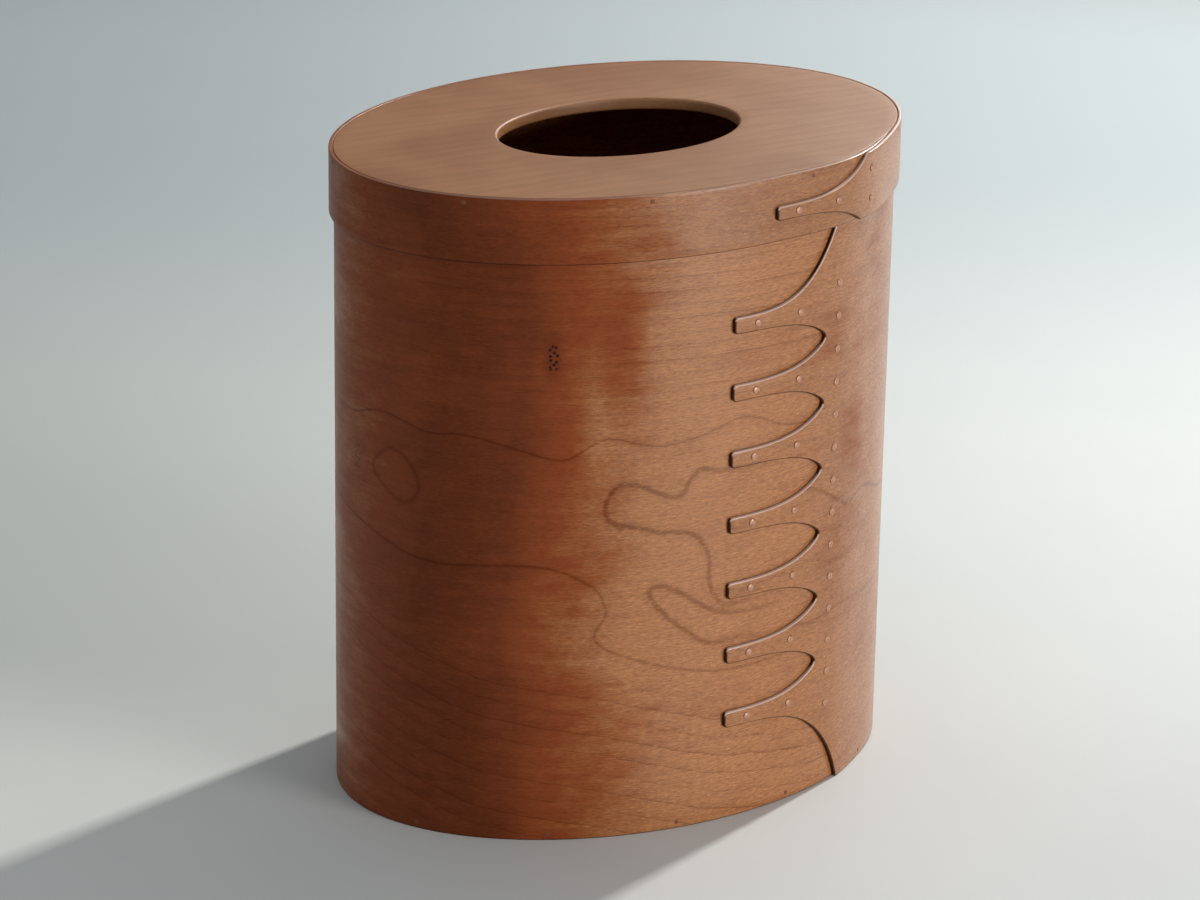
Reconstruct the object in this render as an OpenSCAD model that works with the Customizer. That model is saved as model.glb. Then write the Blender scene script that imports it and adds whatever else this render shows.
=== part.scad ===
// Oval bentwood waste bin with a lift-off lid.
// Each band is one thin strip, bent round an oval and lapped over its own feathered end.
// Finger laps, tacks and pegs hold it together. Units are millimetres, +Z is up,
// the long axis is X, and the laps are on the front, which faces -Y.

/* [Body] */
// Outside length of the oval body
body_length = 290; // [240:5:360]
// Outside width of the oval body
body_width = 206; // [170:2:260]
// Height of the body band
body_height = 320; // [280:5:380]
// Thickness of the body band
band_t = 2.2; // [1.8:0.1:3]
// Thickness of the bottom board
bottom_t = 6.4; // [5:0.2:10]

/* [Body lap] */
// Number of fingers in the lap
fingers = 7; // [4:1:8]
// Height of each finger tip
tip_w = 8.3; // [6:0.1:12]
// Distance of the finger tips from the middle of the front
lap_start = 4; // [0:1:15]
// Length from the finger tips to the top of the arches between them
finger_reach = 58; // [45:1:62]
// Height of the lowest finger's centre line above the floor
low_finger_z = 53.3; // [40:0.1:65]
// Drop from the rim of the body to the highest finger's centre line
high_finger_drop = 64; // [50:0.5:75]
// Length of the long curve over the highest finger
top_reach = 72; // [64:1:76]
// Length of the long curve under the lowest finger
bottom_reach = 79; // [70:1:84]

/* [Lid] */
// Thickness of the lid board
lid_board_t = 6; // [5:0.5:9]
// Height of the lid band
lid_band_h = 32; // [26:1:42]
// Thickness of the lid band
lid_band_t = 2; // [1.6:0.1:3]
// Length of the oval hole in the lid
hole_length = 125; // [90:1:150]
// Width of the oval hole in the lid
hole_width = 87; // [60:1:110]
// Easing of the hole's edges
hole_ease = 1; // [0.4:0.1:1.6]

/* [Lid lap] */
// Height of the lid's finger tip
lid_tip_w = 7; // [5:0.1:9]
// Distance of the lid's finger tip from the middle of the front
lid_lap_start = 25; // [15:1:35]
// Drop from the top of the lid to its finger's centre line
lid_finger_drop = 17.8; // [15:0.1:18]
// Length of the curve over the lid's finger
lid_top_reach = 68; // [60:1:74]
// Length of the curve under the lid's finger
lid_bottom_reach = 60; // [50:1:66]

/* [Fasteners] */
// Diameter of a tack head
tack_head_d = 3.9; // [3:0.1:4.4]
// Height of a tack head
tack_head_h = 0.6; // [0.4:0.1:1]
// Diameter of a tack shank
tack_shank_d = 1.5; // [1:0.1:2]
// Diameter of a wooden peg
peg_d = 2.4; // [1.8:0.1:3]
// Length of a wooden peg
peg_length = 12; // [9:0.5:16]
// Number of pegs round the bottom board
bottom_peg_count = 12; // [8:1:14]
// Number of pegs round the lid board
lid_peg_count = 9; // [6:1:11]

/* [Fits] */
// Gap between the two layers of a lap
layer_gap = 0.1; // [0.08:0.01:0.2]
// Gap between a board and the band round it
board_gap = 0.1; // [0.05:0.01:0.25]
// Gap between the lid band and the body
lid_gap = 0.4; // [0.3:0.05:0.8]
// Gap between the lid board and the rim of the body
rim_gap = 0.3; // [0.2:0.05:0.5]
// Gap between a tack or peg and its hole
hole_gap = 0.05; // [0.03:0.01:0.12]
// Gap under a tack's head
head_gap = 0.08; // [0.06:0.01:0.12]

/* [Hidden] */

wood = "peru";
dark_wood = "sienna";
copper = "#b87350";

// Sizes of the form that both bands are bent to
half_length = body_length / 2;
half_width = body_width / 2;

// Distances along the body band from the finger tips, and the taper of its inner end
tip_tack_in = 12.8;
root_tack_in = 39;
seam_tack_in = 66.3;
seam_margin = 2;
scarf = 40;
feather = 0.35;

// The same for the lid band
lid_tip_tack_in = 12.3;
lid_root_tack_in = 37;
lid_seam_tack_in = 64;
lid_seam_tack_up = 8.7;
lid_seam_tack_drop = 2.4;
lid_arch_over = 12;
lid_arch_under = 6;

// Where the pegs start, clear of the laps
bottom_peg_start = -20;
lid_peg_start = -40;

// Turned-over end of a tack, and the share of a head's width that its flat crown keeps
clinch_d = 2.4;
clinch_h = 0.4;
crown_share = 0.62;

// Shape of a finger's edge: how full the curve is, and how sharp its top is
curve_fullness = 3.4;
curve_point = 0.82;
curve_crowding = 1.6;
curve_steps = 12;

// Steps of the length table, width of a flat facet of the bent wood, and room past a cut
turn_steps = 720;
facet_w = 4;
past = 2;
round_fn = 24;
hole_fn = 96;

// Length over which the lid band rises before it crosses the body's top curve
lid_swell = 45;

finger_pitch = (body_height - low_finger_z - high_finger_drop) / (fingers - 1);
body_full = lap_start + seam_tack_in + seam_margin;
lid_full = lid_lap_start + lid_seam_tack_in + seam_margin;
lid_top = body_height + rim_gap + lid_board_t;
lid_bottom = lid_top - lid_band_h;
body_lift = band_t + layer_gap;
lid_lift = lid_band_t + layer_gap;
board_inset = band_t + board_gap;
body_lap_t = 2 * band_t + layer_gap;
lid_lap_t = 2 * lid_band_t + layer_gap;

// --- the oval and distances along it ---

// Point of the oval at an angle, moved out along its normal
function on_oval(angle, out) =
    let (across = [half_width * cos(angle), half_length * sin(angle)])
    [half_length * cos(angle), half_width * sin(angle)] + out * across / norm(across);

// Direction of the oval's normal at an angle
function facing(angle) = atan2(half_length * sin(angle), half_width * cos(angle));

function table_angle(i) = -90 + 360 * i / turn_steps;

function step_length(i) = norm(on_oval(table_angle(i + 1), 0) - on_oval(table_angle(i), 0));

// Pairs of distance and angle, from the middle of the front towards +X
length_table = [for (i = 0, s = 0; i <= turn_steps; s = s + step_length(i), i = i + 1)
    [s, table_angle(i)]];
girth = length_table[turn_steps][0];
facets = round(girth / facet_w);

function once_round(s) = s - girth * floor(s / girth);

function angle_at(s) = lookup(once_round(s), length_table);

function at(s, out) = on_oval(angle_at(s), out);

// Evenly spaced distances between two ends, with the ends themselves
function stations(from, to) =
    let (
        first = ceil(from / girth * facets + 0.1),
        last = floor(to / girth * facets - 0.1)
    )
    concat([from], [for (i = first; i <= last; i = i + 1) i * girth / facets], [to]);

// --- a lapped strip ---

function smooth(x) = let (c = min(max(x, 0), 1)) c * c * (3 - 2 * c);

// 1 where the outer layer lies over the inner one, falling to 0 past the inner end
function over(s, full) = 1 - smooth((s - full) / scarf);

// Where the inner end stops: there its thickness has fallen to the feather
function inner_end(full, t) =
    let (wanted = (feather + layer_gap) / (t + layer_gap))
    [for (i = 0; i < scarf; i = i + 0.5) if (over(full + i, full) >= wanted) full + i];

function last_of(list) = list[len(list) - 1];

function reversed(list) = [for (i = len(list) - 1; i >= 0; i = i - 1) list[i]];

// Height of a layer's outside over the form, where the first turn is the outer layer
function outside(s, start, full, t) =
    s < girth + start ?
        (t + layer_gap) * over(s, full) :
        (t + layer_gap) * (over(s - girth, full) - 1);

function inside(s, start, full, t) =
    s < girth + start ? outside(s, start, full, t) - t : -t;

// Lift of the lid band's inside where it passes over the body's lap
function lid_seat(s) =
    let (
        place = once_round(s),
        rise = smooth((place - body_full + lid_swell) / (lid_swell - seam_margin))
    )
    lid_gap + body_lift * rise * over(place, body_full);

// Outside of each strip where it is a single layer
body_form = function(s) 0;
lid_form = function(s) lid_seat(s) + lid_band_t;

// How far the lid band leans from the oval's own direction, as the body's lap lifts it
function lid_lean(s) = atan((lid_form(s + 1) - lid_form(s - 1)) / 2);

// Plan of one strip, out along its outside and back along its inside
function strip_plan(form, start, full, t) =
    let (places = stations(start, girth + last_of(inner_end(full, t))))
    concat(
        [for (s = places) at(s, form(s) + outside(s, start, full, t))],
        [for (s = reversed(places)) at(s, form(s) + inside(s, start, full, t))]
    );

// Plan of the space from between the two layers to well outside them
function outer_zone(form, start, reach, full, t) =
    let (
        places = stations(start - past, start + reach + past),
        middle = -t - layer_gap / 2
    )
    concat(
        [for (s = places) at(s, form(s) + (t + layer_gap) * over(s, full) + middle)],
        [for (s = reversed(places)) at(s, form(s) + 2 * (t + layer_gap) + past)]
    );

// --- the edges of the fingers ---

// Height of a finger's edge over the top of its arch, at a distance back from that top
function edge_rise(back, reach) =
    pow(1 - pow(1 - min(back / reach, 1), curve_fullness), curve_point);

function step_back(i, reach) = reach * pow(i / curve_steps, curve_crowding);

// One edge of a cut, from the top of its arch at z to the tips, rise higher or lower
function edge_points(start, reach, z, rise) =
    concat(
        [for (i = [0 : curve_steps])
            let (back = step_back(i, reach))
            [at(start + reach - back, 0)[0], z + rise * edge_rise(back, reach)]],
        [[at(start, 0)[0] - past * 2, z + rise]]
    );

// Outline of the arch between two fingers
function arch_outline(start, reach, z, half) =
    let (lower = edge_points(start, reach, z, -half))
    concat(edge_points(start, reach, z, half), [for (i = len(lower) - 1; i > 0; i = i - 1) lower[i]]);

// Outline of the piece cut away over or under the outermost finger
function end_outline(start, reach, z, rise, beyond) =
    let (edge = edge_points(start, reach, z, rise))
    concat(edge, [[last_of(edge)[0], beyond], [edge[0][0], beyond]]);

// Turns a drawing of the front, in X and Z, into a block through the front half
module through_front() {
    rotate([90, 0, 0])
        linear_extrude(body_width)
            children();
}

module body_lap_cuts() {
    half = (finger_pitch - tip_w) / 2;
    for (i = [0 : fingers - 2])
        polygon(arch_outline(lap_start, finger_reach, low_finger_z + (i + 0.5) * finger_pitch, half));
    top_edge = body_height - high_finger_drop + tip_w / 2;
    polygon(end_outline(lap_start, top_reach, body_height + past,
        top_edge - body_height - past, body_height + 2 * past));
    polygon(end_outline(lap_start, bottom_reach, -past, low_finger_z - tip_w / 2 + past, -2 * past));
}

module lid_lap_cuts() {
    finger_z = lid_top - lid_finger_drop;
    over_z = lid_top + lid_arch_over;
    under_z = lid_bottom - lid_arch_under;
    polygon(end_outline(lid_lap_start, lid_top_reach, over_z,
        finger_z + lid_tip_w / 2 - over_z, over_z + past));
    polygon(end_outline(lid_lap_start, lid_bottom_reach, under_z,
        finger_z - lid_tip_w / 2 - under_z, under_z - past));
}

// --- fasteners ---

// Puts its children on the oval at a distance and height, with +Z pointing out
module on_wall(s, z, out, lean = 0) {
    place = at(s, out);
    translate([place[0], place[1], z])
        rotate([0, 90, facing(angle_at(s)) - lean])
            children();
}

// A tack whose low head lies on the wood and whose end is turned over inside
module tack(thickness, end_h) {
    half_h = tack_head_h / 2;
    shank_end = end_h > 0 ? thickness + hole_gap + end_h : thickness - hole_gap;
    translate([0, 0, head_gap])
        cylinder(h = half_h, d = tack_head_d, $fn = round_fn);
    translate([0, 0, head_gap + half_h])
        cylinder(h = half_h, d1 = tack_head_d, d2 = tack_head_d * crown_share, $fn = round_fn);
    translate([0, 0, -shank_end])
        cylinder(h = shank_end + head_gap + half_h, d = tack_shank_d, $fn = round_fn);
    if (end_h > 0)
        translate([0, 0, -shank_end])
            cylinder(h = end_h, d = clinch_d, $fn = round_fn);
}

module tack_hole(thickness) {
    translate([0, 0, -thickness - past])
        cylinder(h = thickness + 2 * past, d = tack_shank_d + 2 * hole_gap, $fn = round_fn);
}

function finger_z(i) = low_finger_z + i * finger_pitch;

module at_finger_tips() {
    for (i = [0 : fingers - 1])
        on_wall(lap_start + tip_tack_in, finger_z(i), body_lift)
            children();
}

module at_finger_roots() {
    for (i = [0 : fingers - 1])
        on_wall(lap_start + root_tack_in, finger_z(i), body_lift)
            children();
}

// Two to a finger, a quarter of the pitch either side of its centre line
module at_seam() {
    for (i = [0 : fingers - 1], side = [-0.25, 0.25])
        on_wall(lap_start + seam_tack_in, finger_z(i) + side * finger_pitch, body_lift)
            children();
}

module at_lid_tacks() {
    seam = lid_lap_start + lid_seam_tack_in;
    for (s = [lid_lap_start + lid_tip_tack_in, lid_lap_start + lid_root_tack_in])
        on_wall(s, lid_top - lid_finger_drop, lid_form(s) + lid_lift, lid_lean(s))
            children();
    for (z = [lid_bottom + lid_seam_tack_up, lid_top - lid_board_t - lid_seam_tack_drop])
        on_wall(seam, z, lid_form(seam) + lid_lift, lid_lean(seam))
            children();
}

module at_bottom_pegs() {
    for (i = [0 : bottom_peg_count - 1])
        on_wall(bottom_peg_start + i * girth / bottom_peg_count, bottom_t / 2, -hole_gap)
            children();
}

module at_lid_pegs() {
    for (i = [0 : lid_peg_count - 1])
        let (s = lid_peg_start + i * girth / lid_peg_count)
            on_wall(s, lid_top - lid_board_t / 2, lid_form(s) - hole_gap)
                children();
}

module peg() {
    translate([0, 0, -peg_length])
        cylinder(h = peg_length, d = peg_d, $fn = round_fn);
}

module peg_hole() {
    translate([0, 0, -peg_length - hole_gap])
        cylinder(h = peg_length + past * 2, d = peg_d + 2 * hole_gap, $fn = round_fn);
}

// --- the pieces ---

module body_band() {
    color(wood)
        difference() {
            linear_extrude(body_height)
                polygon(strip_plan(body_form, lap_start, body_full, band_t));
            intersection() {
                translate([0, 0, -past])
                    linear_extrude(body_height + 2 * past)
                        polygon(outer_zone(body_form, lap_start, max(top_reach, bottom_reach),
                            body_full, band_t));
                through_front()
                    body_lap_cuts();
            }
            at_finger_tips()
                tack_hole(body_lap_t);
            at_finger_roots()
                tack_hole(body_lap_t);
            at_seam()
                tack_hole(body_lap_t);
            at_bottom_pegs()
                peg_hole();
        }
}

module bottom_board() {
    color(dark_wood)
        difference() {
            linear_extrude(bottom_t)
                polygon([for (s = stations(0, girth - facet_w)) at(s, -board_inset)]);
            at_bottom_pegs()
                peg_hole();
        }
}

module finger_tip_tacks() {
    color(copper)
        at_finger_tips()
            tack(body_lap_t, clinch_h);
}

module finger_root_tacks() {
    color(copper)
        at_finger_roots()
            tack(body_lap_t, clinch_h);
}

module seam_tacks() {
    color(copper)
        at_seam()
            tack(body_lap_t, clinch_h);
}

module bottom_pegs() {
    color(dark_wood)
        at_bottom_pegs()
            peg();
}

module lid_band() {
    color(wood)
        difference() {
            translate([0, 0, lid_bottom])
                linear_extrude(lid_band_h)
                    polygon(strip_plan(lid_form, lid_lap_start, lid_full, lid_band_t));
            intersection() {
                translate([0, 0, lid_bottom - past])
                    linear_extrude(lid_band_h + 2 * past)
                        polygon(outer_zone(lid_form, lid_lap_start, max(lid_top_reach, lid_bottom_reach),
                            lid_full, lid_band_t));
                through_front()
                    lid_lap_cuts();
            }
            at_lid_tacks()
                tack_hole(lid_lap_t);
            at_lid_pegs()
                peg_hole();
        }
}

// The oval hole through the lid board, flared at both faces by its easing
module hand_hole() {
    r = hole_width / 2;
    wide = r + hole_ease;
    low = lid_top - lid_board_t;
    scale([hole_length / hole_width, 1, 1])
        rotate_extrude($fn = hole_fn)
            polygon([
                [0, low - past], [wide, low - past], [wide, low], [r, low + hole_ease],
                [r, lid_top - hole_ease], [wide, lid_top], [wide, lid_top + past], [0, lid_top + past]
            ]);
}

module lid_board() {
    color(dark_wood)
        difference() {
            translate([0, 0, lid_top - lid_board_t])
                linear_extrude(lid_board_t)
                    polygon([for (s = stations(0, girth - facet_w)) at(s, lid_seat(s) - board_gap)]);
            hand_hole();
            at_lid_pegs()
                peg_hole();
        }
}

module lid_tacks() {
    color(copper)
        at_lid_tacks()
            tack(lid_lap_t, 0);
}

module lid_pegs() {
    color(dark_wood)
        at_lid_pegs()
            peg();
}

body_band();
bottom_board();
finger_tip_tacks();
finger_root_tacks();
seam_tacks();
bottom_pegs();
lid_band();
lid_board();
lid_tacks();
lid_pegs();
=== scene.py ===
"""Dresses an oval bentwood waste bin: two lapped bands, two boards, copper tacks and wooden pegs.

Sizes are in millimetres and named for the piece they belong to. Meshes are written in metres, in
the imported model's own frame: +Z up, the long axis on X, the laps on the front, which faces -Y.
"""

from __future__ import annotations

import logging
import math
from collections.abc import Callable, Sequence
from dataclasses import dataclass, field
from enum import Enum

import bpy
import numpy as np
from mathutils import Matrix, Vector
from mathutils.geometry import delaunay_2d_cdt

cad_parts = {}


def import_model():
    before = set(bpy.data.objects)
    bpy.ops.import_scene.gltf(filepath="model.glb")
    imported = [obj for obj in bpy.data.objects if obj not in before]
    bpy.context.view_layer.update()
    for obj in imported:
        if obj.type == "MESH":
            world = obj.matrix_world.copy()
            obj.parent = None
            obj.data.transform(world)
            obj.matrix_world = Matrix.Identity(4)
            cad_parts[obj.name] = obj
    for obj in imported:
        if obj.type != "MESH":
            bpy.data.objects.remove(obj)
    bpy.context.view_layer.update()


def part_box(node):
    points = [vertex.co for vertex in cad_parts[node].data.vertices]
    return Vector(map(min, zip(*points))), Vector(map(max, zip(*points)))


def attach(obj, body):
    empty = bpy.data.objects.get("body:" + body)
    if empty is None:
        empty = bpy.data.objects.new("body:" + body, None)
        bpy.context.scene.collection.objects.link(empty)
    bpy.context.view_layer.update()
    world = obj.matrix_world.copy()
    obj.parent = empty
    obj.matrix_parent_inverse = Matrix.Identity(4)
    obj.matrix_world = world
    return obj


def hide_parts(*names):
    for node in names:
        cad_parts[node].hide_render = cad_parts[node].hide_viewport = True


Array = np.ndarray
Object = bpy.types.Object
Material = bpy.types.Material
Pair = tuple[float, float]
Triple = tuple[float, float, float]

LOG = logging.getLogger("bentwood_bin")
MM = 0.001
PER_METRE = 1000.0
CRISP_ANGLE = 50.0
GOLDEN_SHARE = 0.618

# Names of what is stored on the meshes.
GRAIN = "grain"
FIGURE = "figure"
TONE = "tone"
EDGE = "edge"
OUTWARD = "outward"
RISE = "rise"

# How far both layers of a lap go on past the seam's tacks, in millimetres.
SEAM_MARGIN = 2.0
# Most that a rim counts as facing up, so that an upper rim's rounded edge takes less painted
# highlight than a cut.
RIM_FACING = 0.25
# Share of the way round at which the two halves of the body's figure meet, at the back.
BACK_SHARE = 0.53


class Body(Enum):
    """The two bodies that the pieces ride on."""

    BIN = "bin"
    LID = "lid"


class EdgeKind(Enum):
    """What an edge of a strip is: a rim, a cut round a finger, or the thin inner end."""

    RIM = "rim"
    CUT = "cut"
    FEATHER = "feather"


# --- The oval form ---


@dataclass(frozen=True)
class Oval:
    """The oval form that both bands are bent to.

    Distances along it start at the middle of the front and run towards +X.

    Attributes:
        half_length: Half of the outside length along X.
        half_width: Half of the outside width along Y.
        steps: Number of steps in the table of lengths.
    """

    half_length: float
    half_width: float
    steps: int = 7200
    lengths: Array = field(init=False, repr=False)
    angles: Array = field(init=False, repr=False)

    def __post_init__(self) -> None:
        """Measures the oval once, so that any distance can be turned into an angle."""
        angles = np.linspace(-math.pi / 2, 3 * math.pi / 2, self.steps + 1)
        path = np.stack([self.half_length * np.cos(angles), self.half_width * np.sin(angles)], -1)
        steps = np.hypot(*np.diff(path, axis=0).T)
        object.__setattr__(self, "lengths", np.concatenate([[0.0], np.cumsum(steps)]))
        object.__setattr__(self, "angles", angles)

    @property
    def girth(self) -> float:
        """Length of the oval all the way round."""
        return float(self.lengths[-1])

    def angle_at(self, along: Array) -> Array:
        """Angle of the oval's equation at distances along it."""
        return np.interp(np.mod(along, self.girth), self.lengths, self.angles)

    def outward(self, along: Array) -> Array:
        """Unit vectors that point straight out of the oval.

        Args:
            along: Distances along the oval.

        Returns:
            An array of X and Y pairs.
        """
        angle = self.angle_at(along)
        across = np.stack([self.half_width * np.cos(angle), self.half_length * np.sin(angle)], -1)
        return across / np.linalg.norm(across, axis=-1, keepdims=True)

    def at(self, along: Array, out: Array) -> Array:
        """Points at distances along the oval and distances out from it.

        Args:
            along: Distances along the oval.
            out: Distances out from the oval.

        Returns:
            An array of X and Y pairs.
        """
        along = np.asarray(along, dtype=float)
        angle = self.angle_at(along)
        rim = np.stack([self.half_length * np.cos(angle), self.half_width * np.sin(angle)], -1)
        return rim + np.asarray(out, dtype=float)[..., None] * self.outward(along)


def soften(path: Array, middle: Array, reach: float, radius: float) -> Array:
    """Rounds a path near one of its points and leaves the rest as it is.

    Args:
        path: Points of the path.
        middle: The point to round.
        reach: Length to either side that is rounded.
        radius: About the radius of the rounding.

    Returns:
        The path with evenly spaced, rounded points near the middle.
    """
    places = np.concatenate([[0.0], np.cumsum(np.hypot(*np.diff(path, axis=0).T))])
    centre = places[np.argmin(np.linalg.norm(path - middle, axis=1))]
    step = 0.25
    near = np.arange(centre - reach, centre + reach + step / 2, step)
    spread = np.arange(-3 * radius, 3 * radius + step / 2, step)
    weight = np.exp(-((spread / radius) ** 2) * 2)
    weight /= weight.sum()
    calm = 1.0 - smooth_step((np.abs(near - centre) - reach / 2) / (reach / 2))
    felt = near[:, None] + spread[None, :] * calm[:, None]
    rounded = [(np.interp(felt, places, path[:, k]) * weight).sum(axis=1) for k in (0, 1)]
    before = path[places < near[0] - step / 2]
    after = path[places > near[-1] + step / 2]
    return np.concatenate([before, np.stack(rounded, -1)[::2], after])


def smooth_step(x: Array) -> Array:
    """Rises from 0 to 1 with level ends as x goes from 0 to 1."""
    c = np.clip(x, 0.0, 1.0)
    return c * c * (3.0 - 2.0 * c)


# --- Mesh helpers ---


def link_object(name: str, data: bpy.types.ID) -> Object:
    """Makes an object and links it to the scene.

    Args:
        name: Name of the object.
        data: Its mesh, lamp or camera.

    Returns:
        The object.
    """
    made = bpy.data.objects.new(name, data)
    bpy.context.scene.collection.objects.link(made)
    return made


def make_object(name: str, verts: Array, faces: Sequence[Sequence[int]]) -> Object:
    """Makes a mesh object from points in millimetres.

    Args:
        name: Name of the object and of its mesh.
        verts: Points in millimetres.
        faces: Corner numbers of each face, counter-clockwise from outside.

    Returns:
        The object, linked to the scene.
    """
    mesh = bpy.data.meshes.new(name)
    mesh.from_pydata((verts * MM).tolist(), [], [list(f) for f in faces])
    mesh.validate()
    mesh.shade_smooth()
    mesh.set_sharp_from_angle(angle=math.radians(CRISP_ANGLE))
    return link_object(name, mesh)


def set_vectors(mesh: bpy.types.Mesh, name: str, values: Array) -> None:
    """Stores a vector at each point of a mesh.

    Args:
        mesh: The mesh.
        name: Name of the attribute.
        values: One vector a point.
    """
    attribute = mesh.attributes.new(name, "FLOAT_VECTOR", "POINT")
    attribute.data.foreach_set("vector", np.asarray(values, dtype=np.float32).ravel())


def join_loops(a: int, b: int, count: int) -> list[list[int]]:
    """Joins two closed loops of points with faces.

    Args:
        a: Number of the first loop's first point.
        b: Number of the second loop's first point.
        count: Number of points in a loop.

    Returns:
        Corner numbers of each face.
    """
    turn = [(i, (i + 1) % count) for i in range(count)]
    return [[a + i, a + j, b + j, b + i] for i, j in turn]


def round_over(radius: Array, steps: int) -> tuple[list[Array], list[Array]]:
    """Works out the rings of a rounded edge.

    Args:
        radius: Radius of the round at each point of the edge.
        steps: Number of steps across the round.

    Returns:
        How far each ring lies in from the edge, and how far it lies below the face.
    """
    turns = [math.pi / 2 * i / steps for i in range(steps + 1)]
    return (
        [radius * (1.0 - math.cos(turn)) for turn in turns],
        [radius * (1.0 - math.sin(turn)) for turn in turns],
    )


def inward_normals(outline: Array) -> Array:
    """Mitred directions into a counter-clockwise outline.

    Args:
        outline: Points of a closed outline.

    Returns:
        One vector a point, long enough to keep offset sides parallel.
    """
    before = outline - np.roll(outline, 1, axis=0)
    after = np.roll(outline, -1, axis=0) - outline
    n1 = np.stack([-before[:, 1], before[:, 0]], -1)
    n2 = np.stack([-after[:, 1], after[:, 0]], -1)
    n1 /= np.maximum(np.linalg.norm(n1, axis=1, keepdims=True), 1e-9)
    n2 /= np.maximum(np.linalg.norm(n2, axis=1, keepdims=True), 1e-9)
    both = n1 + n2
    share = np.maximum(1.0 + (n1 * n2).sum(axis=1, keepdims=True), 0.35)
    return both / share


def inside_outline(points: Array, outline: Array, margin: float) -> Array:
    """Finds the points that lie well inside an outline.

    Args:
        points: The points to test.
        outline: A closed outline.
        margin: Least distance from the outline.

    Returns:
        True for each point inside by at least the margin.
    """
    a = outline
    b = np.roll(outline, -1, axis=0)
    px = points[:, 0][:, None]
    py = points[:, 1][:, None]
    rise = b[:, 1] - a[:, 1]
    rise = np.where(rise == 0, 1e-12, rise)
    crosses = ((a[:, 1] > py) != (b[:, 1] > py)) & (
        px < (b[:, 0] - a[:, 0]) * (py - a[:, 1]) / rise + a[:, 0]
    )
    inside = crosses.sum(axis=1) % 2 == 1
    side = b - a
    length2 = np.maximum((side**2).sum(axis=1), 1e-12)
    share = np.clip(((px - a[:, 0]) * side[:, 0] + (py - a[:, 1]) * side[:, 1]) / length2, 0, 1)
    gap2 = (px - a[:, 0] - share * side[:, 0]) ** 2 + (py - a[:, 1] - share * side[:, 1]) ** 2
    return inside & (gap2.min(axis=1) > margin**2)


# --- The bands ---


@dataclass(frozen=True)
class Lap:
    """The fingered lap of one band, drawn flat: distance along the strip against height.

    Attributes:
        start: Distance of the finger tips from the middle of the front.
        fingers: Number of fingers.
        low_finger_z: Height of the lowest finger's centre line.
        pitch: Height from one finger to the next.
        tip: Height of a finger's tip.
        tip_round: Radius of a tip's corners.
        reach: Length from the tips to the tops of the arches between fingers.
        over_reach: Length of the curve over the highest finger.
        over_z: Height at which that curve would come to its top.
        under_reach: Length of the curve under the lowest finger.
        under_z: Height at which that curve would come to its top.
        arch_round: Radius at the tops of the arches.
        arch_soft: Length to either side of an arch's top that is rounded.
        fullness: How full each curve is.
        point: How sharp the top of each curve is.
    """

    start: float
    fingers: int
    low_finger_z: float
    pitch: float
    tip: float
    tip_round: float
    reach: float
    over_reach: float
    over_z: float
    under_reach: float
    under_z: float
    arch_round: float = 4.2
    arch_soft: float = 12.0
    fullness: float = 3.4
    point: float = 0.82

    def finger_z(self, i: int) -> float:
        """Height of a finger's centre line."""
        return self.low_finger_z + i * self.pitch

    def edge(self, reach: float, top_z: float, tip_z: float, steps: int = 44) -> Array:
        """One edge of a finger, from the top of its arch out to the tip's rounded corner.

        Args:
            reach: Length from the tips to the top of the arch.
            top_z: Height of the top of the arch.
            tip_z: Height of the edge where it meets the tip.
            steps: Number of steps along the edge.

        Returns:
            An array of distances and heights, the top of the arch first.
        """
        share = (np.arange(steps + 1) / steps) ** 1.9
        last = 1.0 - self.tip_round / reach
        back = share * reach * last
        rise = (1.0 - (1.0 - back / reach) ** self.fullness) ** self.point
        return np.stack([self.start + reach - back, top_z + (tip_z - top_z) * rise], -1)

    def tip_corner(self, tip_z: float, upper: bool, steps: int = 5) -> Array:
        """The rounded corner of a tip, from the finger's edge to the tip's end.

        Args:
            tip_z: Height of the edge.
            upper: True for the corner at the top of a finger.
            steps: Number of steps round the corner.

        Returns:
            An array of distances and heights.
        """
        turn = np.linspace(0, math.pi / 2, steps + 1)[1:]
        side = -1.0 if upper else 1.0
        along = self.start + self.tip_round * (1.0 - np.sin(turn))
        height = tip_z + side * self.tip_round * (1.0 - np.cos(turn))
        return np.stack([along, height], -1)


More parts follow.
